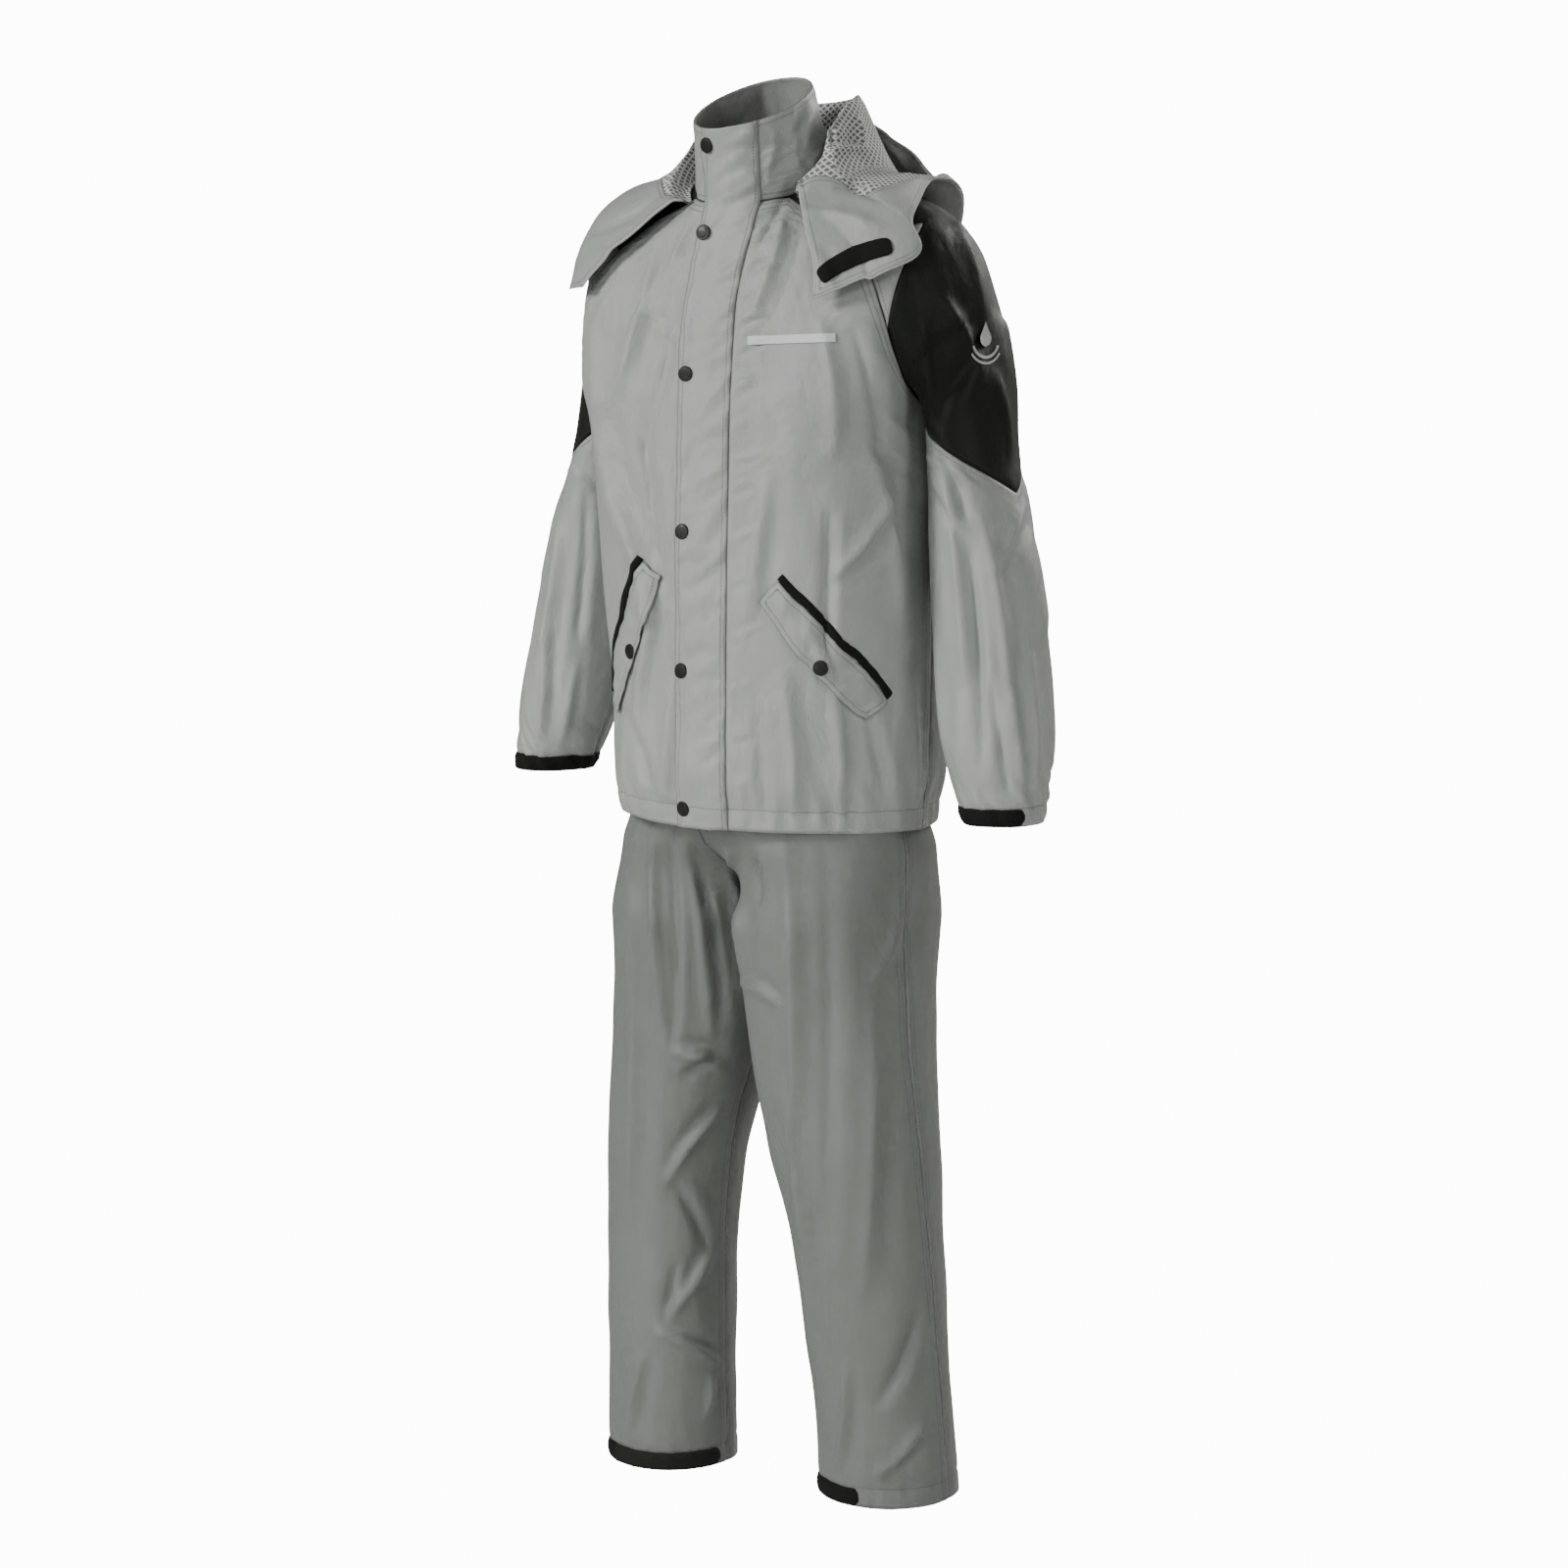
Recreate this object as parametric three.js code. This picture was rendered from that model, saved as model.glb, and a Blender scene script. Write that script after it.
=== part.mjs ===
import * as THREE from 'three';

// A rain suit filled out as if worn: a jacket with raglan sleeves and a hood thrown back, and trousers.
// Lengths are millimetres. The origin is the base of the neck, +Z is up, the wearer faces -Y and
// their left hand is on +X. In every table side 1 is the wearer's left and side -1 the right.

const wall = 2; // cloth wall of the panels
const thinWall = 1; // flaps, tapes and hood layers
const seamGap = 0.32; // clear space between two sewn panels
const lift = 0.35; // clear space under a piece that lies on a panel
const underarmInset = { upper: 1.1, lower: 1 }; // the sleeves' edges, drawn in where the armpit folds
const trouserInset = 0.3;
const liningInset = 1;
const sides = [['left', 1], ['right', -1]];

const colours = {
  shell: 0xa3a6a2,
  trousers: 0x7f817c,
  overarm: 0x24261f,
  tape: 0x0d0d0b,
  mesh: 0xd8d9d4,
  snap: 0x33352f,
};

// A table as a list of rows, each with the columns' names.
function rowsOf(columns, ...rows) {
  return rows.map((row) => Object.fromEntries(columns.map((name, k) => [name, row[k]])));
}

const hemFrontZ = -700;
const hemSideZ = { 1: -707, [-1]: -687 };
const hemBackZ = -700;
const armholeFrontZ = -292;
const armpit = { x: 181, y: 22, z: -275 };
const armholeBackZ = -288;

// Level sections of the jacket below the armpits. up is 0 at the hem and 1 at the armpits, half is
// the half width, and the corner columns say how square each quarter is, 2 being an ellipse.
const torso = rowsOf(
  ['up', 'half', 'sideY', 'front', 'back', 'cornerLeft', 'cornerRight', 'cornerBack'],
  [0, 176, 0, 156, 152, 2.1, 2.1, 2.1],
  [0.055, 178, 0, 158, 153, 2.1, 2.2, 2.1],
  [0.13, 183, 2, 163, 158, 2.2, 2.15, 2.2],
  [0.35, 184, 5, 160, 153, 2.5, 2.2, 2.4],
  [0.65, 182, 12, 157, 146, 3.0, 3.1, 2.8],
  [1, 181, 22, 153, 138, 3.5, 4.4, 3.2],
);

// Sleeve sections. along is 0 at the neck, 1 at the armpit and 2 at the cuff. front and back are the
// raglan seams, which meet under the arm, top is the outermost line, depth the half depth in Y and
// spread the half angle that the section's arc opens, 180 being a closed ring. tuck is how much closer
// to the body the right sleeve's outer line lies, and flat how much of its depth its front half has.
const sleeve = rowsOf(
  ['along', 'front', 'top', 'back', 'depth', 'spread', 'tuck', 'flat'],
  [0, [57, -76, -37], [75, -30, -20], [57, 16, -4], 72, 40, 0, 1],
  [0.25, [106, -88, -66], [127, -16, -30], [100, 60, -38], 86, 58, 2, 1],
  [0.5, [158, -98, -108], [189, 0, -48], [150, 92, -105], 96, 80, 12, 0.85],
  [0.7, [182, -104, -152], [225, 8, -84], [172, 102, -165], 99, 103, 20, 0.76],
  [0.88, [187, -66, -224], [243, 18, -150], [178, 88, -230], 90, 138, 20, 0.85],
  [1, [181, 22, -275], [255, 26, -214], [181, 22, -275], 77, 180, 14, 0.95],
  [1.18, [184, 24, -350], [267, 24, -312], [184, 24, -350], 72, 180, 8, 1],
  [1.4, [188, 16, -440], [298, 14, -415], [188, 16, -440], 67, 180, 9, 1],
  [1.6, [197, 6, -522], [317, 4, -508], [197, 6, -522], 66, 180, 11, 1],
  [1.8, [213, -5, -610], [330, -6, -602], [213, -5, -610], 63, 180, 13, 1],
  [1.93, [230, -10, -662], [327, -10, -660], [230, -10, -662], 53, 180, 6, 1],
  [2, [241, -12, -690], [323, -12, -690], [241, -12, -690], 46, 180, -3, 1],
);
const armLength = { 1: 1, [-1]: 0.945 }; // the right arm is held a little higher

// Centre lines of the chest and the nape between the neck seam and the armpits. frontTurn and
// backTurn are the share of a quarter turn that the front and back panels cover.
const yoke = rowsOf(
  ['along', 'chest', 'nape', 'frontTurn', 'backTurn'],
  [0, [-112, -44], [42, 4], 0.56, 0.56],
  [0.25, [-124, -88], [76, -44], 0.64, 0.66],
  [0.5, [-136, -140], [106, -112], 0.74, 0.78],
  [0.7, [-144, -190], [122, -170], 0.82, 0.86],
  [0.88, [-150, -242], [133, -232], 0.93, 0.94],
  [1, [-153, -292], [138, -288], 1, 1],
);

// The black overarm panel ends in a point at the outer line of the sleeve, by the elbow.
const overarmPoint = 1.25;
const overarmEdge = 0.93;
const gusset = { from: 0.42, corner: 0.56, to: 0.76, width: 0.34 };

const collar = { halfWidth: 62, halfDepth: 68, centreY: -54, frontZ: 33, backZ: 90, roll: 0.05 };

// The storm flap covers the zip. Its sewn edge is on the wearer's left, its free edge on the right.
const flap = { sewnX: 28, freeX: -35, collarShift: 9, lies: { thickness: 1.8, clear: 2.2 } };
const snap = { radius: 7.5, height: 2.4, inFromEdge: 9 };
const snapHeights = [-680, -532, -385, -220, -73, 16];

// Slanted pockets in the fronts: millimetres from the centre front and up from the hem. flapDepth is
// how far the flap reaches at its ends, and bulge how much further in its middle.
const pocket = {
  1: { top: [93, 272], bottom: [217, 149] },
  [-1]: { top: [84, 287], bottom: [176, 130] },
};
const welt = 9;
const pocketFlap = { depth: 31, bulge: 11, snapShare: 0.46 };
const pocketLies = { clear: 1.1 };

// Tapes at the cuffs and hems: first and last column of the panel's grid, and the two edges' heights.
const cuffTape = { from: 5.9, to: 12.7, low: 1, high: 19 };
const legTape = {
  1: { from: 0.6, to: 5.2, low: 1, high: 21 },
  [-1]: { from: 0.6, to: 9.6, low: 1, high: 21 },
};

const waistZ = -395;
const waistband = 35;
const forkZ = -700; // above it the trousers are one tube
const crotchZ = -812;
const trouserHemZ = -1441;
const hips = rowsOf(
  ['z', 'half', 'front', 'back', 'corner'],
  [-812, 177, 130, 134, 2.3],
  [-735, 176, 131, 132, 2.2],
  [-700, 170, 130, 129, 2.2],
  [-560, 160, 126, 122, 2.2],
  [-395, 150, 118, 112, 2.2],
);
const legColumns = ['z', 'x', 'y', 'across', 'deep', 'corner'];
const legs = {
  1: rowsOf(legColumns,
    [-1441, 138, 2, 75, 76, 2.1],
    [-1385, 137, -2, 74, 75, 2.1],
    [-1290, 134, -8, 75, 76, 2.1],
    [-1150, 126, -13, 81, 86, 2.1],
    [-1050, 115, -14, 87, 95, 2.2],
    [-900, 94, -8, 91, 111, 2.3],
    [-812, 89, -4, 89, 124, 2.4],
  ),
  [-1]: rowsOf(legColumns,
    [-1441, 140, 2, 71, 73, 2.1],
    [-1385, 138, -2, 71, 72, 2.1],
    [-1290, 136, -8, 70, 72, 2.1],
    [-1150, 133, -13, 71, 75, 2.1],
    [-1050, 124, -14, 76, 83, 2.2],
    [-900, 99, -8, 95, 102, 2.3],
    [-812, 93, -4, 93, 120, 2.4],
  ),
};
const hipTwist = -10; // the left leg stands a little forward

// The hood lies thrown back. turn runs from its front edge at 0 to the middle of the back at 1. seam
// and rim are places round the shoulder (0 centre front, 1 centre back), low and end are the lowest
// place down the shoulder and that of the rim (0 neck, 1 armpit), lowAt the share of the way to the
// rim at which the lowest place comes, crest and stand are the heights of the roll by the collar and
// of the rim, and border is where the mesh ends.
const hoodColumns = ['turn', 'seam', 'rim', 'low', 'lowAt', 'end', 'crest', 'stand', 'border'];
const hood = {
  1: rowsOf(hoodColumns,
    [0, 0.35, 0.194, 0.6, 1, 0.6, 4, 6, 0.05],
    [1 / 9, 0.375, 0.307, 0.6, 1, 0.6, 16, 5, 0.16],
    [2 / 9, 0.4, 0.4, 0.69, 1, 0.69, 30, 4, 0.3],
    [3 / 9, 0.43, 0.42, 0.56, 1, 0.56, 48, 3, 0.56],
    [4 / 9, 0.48, 0.515, 0.434, 1, 0.434, 58, 3, 0.88],
    [5 / 9, 0.56, 0.6, 0.5, 0.85, 0.44, 66, 30, 0.8],
    [6 / 9, 0.66, 0.68, 0.54, 0.72, 0.41, 70, 54, 0.74],
    [7 / 9, 0.77, 0.79, 0.64, 0.62, 0.38, 70, 84, 0.72],
    [8 / 9, 0.88, 0.9, 0.7, 0.6, 0.39, 70, 116, 0.72],
    [1, 1, 1, 0.74, 0.6, 0.41, 70, 130, 0.72],
  ),
  [-1]: rowsOf(hoodColumns,
    [0, 0.25, 0.285, 0.62, 1, 0.62, 0, 4, 0.05],
    [1 / 9, 0.32, 0.375, 0.7, 1, 0.7, 2, 5, 0.14],
    [2 / 9, 0.38, 0.462, 0.71, 1, 0.71, 6, 5, 0.2],
    [3 / 9, 0.43, 0.52, 0.62, 1, 0.62, 10, 4, 0.28],
    [4 / 9, 0.5, 0.56, 0.5, 0.95, 0.5, 24, 6, 0.5],
    [5 / 9, 0.57, 0.62, 0.5, 0.85, 0.45, 46, 32, 0.7],
    [6 / 9, 0.66, 0.69, 0.55, 0.72, 0.42, 66, 54, 0.72],
    [7 / 9, 0.77, 0.79, 0.66, 0.62, 0.39, 70, 80, 0.72],
    [8 / 9, 0.88, 0.9, 0.71, 0.6, 0.4, 70, 112, 0.72],
    [1, 1, 1, 0.74, 0.6, 0.41, 70, 130, 0.72],
  ),
};
const hoodTape = { fromTurn: 0.016, toTurn: 0.2, low: 0.86, high: 0.71 };
const hoodClearance = 17.5; // between the hood and the shoulders
const hoodGap = 4 * lift; // between its outer cloth and its lining
const hoodStart = 0.025;
const hoodSpread = 0.7; // how soon the hood spreads from its seam to its rim
const crestAt = 0.12;
const crestFall = 0.16;
const liningGather = 1.4; // closer rows at the neck, where the roll is sharp

const counts = {
  front: 12, back: 20, bodyRows: 9, sleeve: 14, overarmRows: 9, lowerRows: 11, collarRows: 3,
  flap: 4, leg: 10, hipRows: 6, legRows: 9, pocket: 12, hood: 9, liningRows: 7, facingRows: 4,
};

const mix = (a, b, t) => a + (b - a) * t;
const clamp = (x, low, high) => Math.min(Math.max(x, low), high);
const vector = (list) => new THREE.Vector3(...list);

function ease(from, to, x) {
  const t = clamp((x - from) / (to - from), 0, 1);
  return t * t * (3 - 2 * t);
}

// Smooth curve through four neighbouring rows of a table.
function hermite(values, keys, t) {
  const slope = (k) => {
    const low = Math.max(k - 1, 0);
    const high = Math.min(k + 1, 3);
    const span = keys[high] - keys[low];
    return span === 0 ? 0 : (values[high] - values[low]) / span;
  };
  const step = keys[2] - keys[1];
  const a = values[1];
  const b = values[2];
  const m = slope(1) * step;
  const n = slope(2) * step;
  return a + t * (m + t * (3 * (b - a) - 2 * m - n + t * (2 * (a - b) + m + n)));
}

// Every column of a table at one value of its key column.
function section(table, key, at) {
  const last = table.length - 1;
  let i = 0;
  while (i < last - 1 && at > table[i + 1][key]) i += 1;
  const rows = [table[Math.max(i - 1, 0)], table[i], table[i + 1], table[Math.min(i + 2, last)]];
  const keys = rows.map((row) => row[key]);
  const t = clamp((at - keys[1]) / (keys[2] - keys[1]), 0, 1);
  const columns = {};
  for (const name of Object.keys(rows[1])) {
    const values = rows.map((row) => row[name]);
    columns[name] = Array.isArray(values[1])
      ? values[1].map((_, axis) => hermite(values.map((value) => value[axis]), keys, t))
      : hermite(values, keys, t);
  }
  return columns;
}

// A point on a rounded square of half size 1, angle 0 being the middle of its front side.
function roundedSquare(angle, corner) {
  const sine = Math.abs(Math.sin(angle));
  const cosine = Math.abs(Math.cos(angle));
  const reach = (sine ** corner + cosine ** corner) ** (-1 / corner);
  return { across: reach * sine, ahead: reach * cosine };
}

// One quarter of a body section, from its centre line at share 0 to the side or raglan seam at 1.
function quarter(side, share, { turn, corner, seam, centre }) {
  const now = roundedSquare(share * turn * Math.PI / 2, corner);
  const end = roundedSquare(turn * Math.PI / 2, corner);
  const ahead = (now.ahead - end.ahead) / (1 - end.ahead);
  return new THREE.Vector3(
    side * seam[0] * now.across / end.across,
    mix(seam[1], centre[0], ahead),
    mix(seam[2], centre[1], ahead),
  );
}

function torsoPoint(side, isBack, up, share) {
  const s = section(torso, 'up', up);
  const seam = [s.half, s.sideY, mix(hemSideZ[side], armpit.z, up)];
  const centre = isBack
    ? [s.back, mix(hemBackZ, armholeBackZ, up)]
    : [-s.front, mix(hemFrontZ, armholeFrontZ, up)];
  const corner = isBack ? s.cornerBack : (side > 0 ? s.cornerLeft : s.cornerRight);
  return quarter(side, share, { turn: 1, corner, seam, centre });
}

function yokePoint(side, isBack, along, share) {
  const s = section(yoke, 'along', along);
  const arm = section(sleeve, 'along', along);
  const top = torso[torso.length - 1];
  const full = isBack ? top.cornerBack : (side > 0 ? top.cornerLeft : top.cornerRight);
  return quarter(side, share, {
    turn: isBack ? s.backTurn : s.frontTurn,
    corner: mix(2.2, full, ease(0.6, 1.02, along)),
    seam: isBack ? arm.back : arm.front,
    centre: isBack ? s.nape : s.chest,
  });
}

// A point of the sleeve. turn is -1 at the front raglan or underarm seam, 0 on the outer line, 1 at the back.
function sleevePoint(side, along, turn) {
  const s = section(sleeve, 'along', along);
  const front = vector(s.front);
  const back = vector(s.back);
  const top = vector(s.top);
  if (side < 0) top.x -= s.tuck;
  const middle = front.clone().add(back).multiplyScalar(0.5);
  const outward = top.clone().sub(middle);
  const spread = THREE.MathUtils.degToRad(s.spread);
  const reach = outward.length() / (1 - Math.cos(spread));
  outward.normalize();
  const deep = along < 0.9 ? back.clone().sub(front).normalize() : new THREE.Vector3(0, 1, 0);
  const depth = side < 0 && turn < 0 ? s.depth * s.flat : s.depth;
  const at = (share) => top.clone()
    .addScaledVector(outward, reach * (Math.cos(spread * share) - 1))
    .addScaledVector(deep, depth * Math.sin(spread * share));
  const end = turn < 0 ? front.sub(at(-1)) : back.sub(at(1));
  const point = at(turn).addScaledVector(end, Math.abs(turn) ** 4);
  if (along > 1) point.z = mix(armpit.z, point.z, mix(1, armLength[side], ease(1, 2, along)));
  point.x *= side;
  return point;
}

// Soft ridges (+) and troughs (-) of the cloth, in millimetres on the panel: x from its first edge,
// y up from its hem. Each runs from one end to the other and fades out at both.
function creaseHeight(creases, x, y) {
  let height = 0;
  for (const crease of creases) {
    const [x0, y0] = crease.from;
    const [x1, y1] = crease.to;
    const length = Math.hypot(x1 - x0, y1 - y0);
    const t = ((x - x0) * (x1 - x0) + (y - y0) * (y1 - y0)) / (length * length);
    const off = ((x - x0) * (y1 - y0) - (y - y0) * (x1 - x0)) / length;
    if (t <= 0 || t >= 1) continue;
    height += crease.height * Math.sin(Math.PI * t) ** 0.7 * Math.exp(-((off / crease.width) ** 2));
  }
  return height;
}

// A grid holds the outer points of a piece, row by row. Its faces point out when rows run up and
// columns run to the wearer's left, seen from outside.
function makeGrid(rowCount, columnCount, pointAt) {
  const points = [];
  for (let j = 0; j <= rowCount; j += 1) {
    const row = [];
    for (let i = 0; i <= columnCount; i += 1) row.push(pointAt(j, i));
    points.push(row);
  }
  return points;
}

const flipGrid = (grid) => grid.map((row) => [...row].reverse());

function faceNormals(grid) {
  const sums = grid.map((row) => row.map(() => new THREE.Vector3()));
  const edge = new THREE.Vector3();
  const other = new THREE.Vector3();
  for (let j = 0; j + 1 < grid.length; j += 1) {
    for (let i = 0; i + 1 < grid[j].length; i += 1) {
      edge.subVectors(grid[j][i + 1], grid[j][i]).add(grid[j + 1][i + 1]).sub(grid[j + 1][i]);
      other.subVectors(grid[j + 1][i], grid[j][i]).add(grid[j + 1][i + 1]).sub(grid[j][i + 1]);
      const normal = edge.clone().cross(other);
      for (const [b, a] of [[j, i], [j, i + 1], [j + 1, i], [j + 1, i + 1]]) sums[b][a].add(normal);
    }
  }
  return sums.map((row) => row.map((sum) => sum.normalize()));
}

// Moves the points out along their normals by the height that a function gives. side is -1 for a
// grid whose columns run to the wearer's right.
function raise(grid, side, heightAt) {
  const normals = faceNormals(grid);
  return grid.map((row, j) => row.map((p, i) => (
    p.clone().addScaledVector(normals[j][i], side * heightAt(j, i)))));
}

// Creases on a grid, fading to nothing at its edges so that seams still meet.
function crease(grid, side, creases) {
  const steps = (points) => {
    let length = 0;
    return points.map((p, k) => {
      if (k > 0) length += p.distanceTo(points[k - 1]);
      return length;
    });
  };
  const middle = Math.floor(grid[0].length / 2);
  const ups = steps(grid.map((row) => row[middle]));
  const acrosses = steps(grid[Math.floor(grid.length / 2)]);
  return raise(grid, side, (j, i) => {
    const inside = Math.min(i, grid[0].length - 1 - i, j, grid.length - 1 - j);
    return creaseHeight(creases, acrosses[i], ups[j]) * ease(0, 1.5, inside);
  });
}

const keyOf = (p) => [p.x, p.y, p.z].map((value) => Math.round(value * 50)).join(' ');

// Normals of panels that are sewn together, averaged along their seams.
function seamNormals(grids) {
  const shared = new Map();
  const own = grids.map(faceNormals);
  grids.forEach((grid, g) => grid.forEach((row, j) => row.forEach((p, i) => {
    const key = keyOf(p);
    if (!shared.has(key)) shared.set(key, new THREE.Vector3());
    shared.get(key).add(own[g][j][i]);
  })));
  return grids.map((grid, g) => grid.map((row, j) => row.map((p, i) => {
    const sum = shared.get(keyOf(p)).clone().normalize();
    return sum.dot(own[g][j][i]) > 0.2 ? sum : own[g][j][i];
  })));
}

// Closed wall with the grid as its outer face. Its edges are drawn in by half a seam.
function wallGeometry(grid, normals, thickness, inset = seamGap / 2) {
  const rows = grid.length;
  const columns = grid[0].length;
  const outer = [];
  const inner = [];
  grid.forEach((row, j) => row.forEach((p, i) => {
    const moved = p.clone();
    const nudge = (b, a) => moved.addScaledVector(grid[b][a].clone().sub(p).normalize(), inset);
    if (i === 0) nudge(j, 1);
    if (i === columns - 1) nudge(j, columns - 2);
    if (j === 0) nudge(1, i);
    if (j === rows - 1) nudge(rows - 2, i);
    outer.push(moved);
    inner.push(moved.clone().addScaledVector(normals[j][i], -thickness));
  }));
  const positions = [...outer, ...inner].flatMap((p) => [p.x, p.y, p.z]);
  const under = outer.length;
  const faces = [];
  const quad = (a, b, c, d) => faces.push(a, b, c, a, c, d);
  const at = (j, i) => j * columns + i;
  for (let j = 0; j + 1 < rows; j += 1) {
    for (let i = 0; i + 1 < columns; i += 1) {
      quad(at(j, i), at(j, i + 1), at(j + 1, i + 1), at(j + 1, i));
      quad(under + at(j, i), under + at(j + 1, i), under + at(j + 1, i + 1), under + at(j, i + 1));
    }
  }
  const rim = [];
  for (let i = 0; i < columns - 1; i += 1) rim.push(at(0, i));
  for (let j = 0; j < rows - 1; j += 1) rim.push(at(j, columns - 1));
  for (let i = columns - 1; i > 0; i -= 1) rim.push(at(rows - 1, i));
  for (let j = rows - 1; j > 0; j -= 1) rim.push(at(j, 0));
  rim.forEach((a, k) => {
    const b = rim[(k + 1) % rim.length];
    quad(b, a, under + a, under + b);
  });
  const geometry = new THREE.BufferGeometry();
  geometry.setAttribute('position', new THREE.Float32BufferAttribute(positions, 3));
  geometry.setIndex(faces);
  geometry.computeVertexNormals();
  return geometry;
}

const suit = new THREE.Group();

function addMesh(name, geometry, colour, roughness = 0.6) {
  const material = new THREE.MeshStandardMaterial({ color: colours[colour], roughness, metalness: 0 });
  const mesh = new THREE.Mesh(geometry, material);
  mesh.name = name;
  suit.add(mesh);
  return mesh;
}

const turnOut = (side, grid) => (side > 0 ? grid : flipGrid(grid));

// Panels that are sewn together share the normals along their seams.
function addPanels(panels) {
  const grids = panels.map((panel) => turnOut(panel.side, panel.grid));
  const normals = seamNormals(grids);
  panels.forEach((panel, k) => {
    addMesh(panel.name, wallGeometry(grids[k], normals[k], wall, panel.inset), panel.colour);
  });
}

// A piece of thin cloth or tape that lies on a panel: its grid is made from the panel's own points.
function addOnPanel(name, side, grid, colour, { thickness = thinWall, clear = lift } = {}) {
  const raised = turnOut(side, raise(grid, side, () => clear + thickness));
  addMesh(name, wallGeometry(raised, faceNormals(raised), thickness, 0), colour);
}

// The point a given length along a line of points.
function walk(points, length) {
  let left = length;
  for (let k = 0; k + 1 < points.length; k += 1) {
    const step = points[k].distanceTo(points[k + 1]);
    if (left <= step || k + 2 === points.length) {
      return points[k].clone().lerp(points[k + 1], clamp(left / step, 0, 1));
    }
    left -= step;
  }
  return points[0].clone();
}

// A place on a panel, in millimetres across from its first column and up from its lower edge.
function onPanel(grid, x, y) {
  const level = grid[0].map((_, i) => walk(grid.map((row) => row[i]), y));
  return walk(level, x);
}

// Jacket panels

// Rows above the armpits end where the sleeve's rows end, so that raglan seams meet point to point.
const seamRows = [1];
for (let j = counts.overarmRows; j >= 0; j -= 1) seamRows.push(overarmEdge * j / counts.overarmRows);

function bodyGrid(side, isBack, columns) {
  const lower = makeGrid(counts.bodyRows - 1, columns, (j, i) => (
    torsoPoint(side, isBack, j / counts.bodyRows, i / columns)));
  const upper = makeGrid(seamRows.length - 1, columns, (j, i) => (
    yokePoint(side, isBack, seamRows[j], i / columns)));
  return [...lower, ...upper];
}

// Folds of the fronts run down from the shoulders towards the pockets, and across above the hem.
const frontCreases = {
  1: [
    { from: [225, 560], to: [120, 190], width: 26, height: 6 },
    { from: [150, 600], to: [70, 330], width: 20, height: 4 },
    { from: [190, 330], to: [60, 60], width: 22, height: -5 },
    { from: [270, 260], to: [190, 40], width: 20, height: 5 },
  ],
  [-1]: [
    { from: [215, 560], to: [190, 250], width: 22, height: 6 },
    { from: [180, 580], to: [130, 260], width: 20, height: -5 },
    { from: [130, 600], to: [80, 300], width: 18, height: 4 },
    { from: [250, 330], to: [160, 60], width: 22, height: 5 },
  ],
};
const backCreases = [
  { from: [70, 120], to: [120, 420], width: 28, height: 6 },
  { from: [190, 60], to: [170, 350], width: 24, height: -6 },
  { from: [400, 90], to: [330, 400], width: 28, height: 6 },
  { from: [300, 200], to: [270, 60], width: 22, height: 5 },
  { from: [470, 60], to: [440, 330], width: 22, height: -5 },
];
const lowerSleeveCreases = [
  { from: [60, 40], to: [90, 300], width: 22, height: 5 },
  { from: [150, 120], to: [120, 380], width: 20, height: -5 },
  { from: [250, 60], to: [220, 320], width: 22, height: 5 },
];
const overarmCreases = [
  { from: [110, 60], to: [60, 260], width: 22, height: 5 },
  { from: [210, 90], to: [250, 260], width: 22, height: -4 },
];

function backGrid() {
  const half = counts.back / 2;
  const left = flipGrid(bodyGrid(1, true, half));
  const right = bodyGrid(-1, true, half);
  return crease(left.map((row, j) => [...row, ...right[j].slice(1)]), 1, backCreases);
}

// Share of the arc, from the front raglan seam, at which the overarm starts beside the gusset.
function gussetShare(along) {
  const rising = clamp((along - gusset.from) / (gusset.corner - gusset.from), 0, 1);
  const falling = clamp((gusset.to - along) / (gusset.to - gusset.corner), 0, 1);
  return gusset.width * Math.min(rising, falling);
}

const overarmEnd = (turn) => mix(overarmPoint, overarmEdge, Math.abs(turn) ** 1.15);

function overarmGrid(side) {
  return makeGrid(counts.overarmRows, counts.sleeve, (j, i) => {
    const share = i / counts.sleeve;
    const along = overarmEnd(2 * share - 1) * (1 - j / counts.overarmRows);
    return sleevePoint(side, along, mix(-1 + 2 * gussetShare(along), 1, share));
  });
}

function lowerSleeveGrid(side) {
  return makeGrid(counts.lowerRows, counts.sleeve, (j, i) => {
    const turn = 2 * i / counts.sleeve - 1;
    const atArmpit = Math.abs(turn) === 1 && j === counts.lowerRows - 1;
    return sleevePoint(side, atArmpit ? 1 : mix(2, overarmEnd(turn), j / counts.lowerRows), turn);
  });
}

// The small grey gusset between the front raglan seam and the overarm panel.
function gussetGrid(side, overarm) {
  const first = 1;
  const last = counts.overarmRows - 1;
  const rows = [];
  for (let j = first; j <= last; j += 1) {
    const along = overarmEnd(-1) * (1 - j / counts.overarmRows);
    if (gussetShare(along) > 0) rows.push([sleevePoint(side, along, -1), overarm[j][0]]);
  }
  return rows;
}

const fronts = {};
const overarms = {};
const lowerSleeves = {};
const back = backGrid();
const jacketPanels = [{ name: 'jacket_back', side: 1, grid: back, colour: 'shell' }];
for (const [word, side] of sides) {
  fronts[side] = crease(bodyGrid(side, false, counts.front), side, frontCreases[side]);
  overarms[side] = crease(overarmGrid(side), side, overarmCreases);
  lowerSleeves[side] = crease(lowerSleeveGrid(side), side, lowerSleeveCreases);
  const add = (name, grid, colour, inset) => (
    jacketPanels.push({ name: `${name}_${word}`, side, grid, colour, inset }));
  add('jacket_front', fronts[side], 'shell');
  add('sleeve_upper', overarms[side], 'overarm', underarmInset.upper);
  add('sleeve_lower', lowerSleeves[side], 'shell', underarmInset.lower);
  add('gusset', gussetGrid(side, overarms[side]), 'shell');
}

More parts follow.
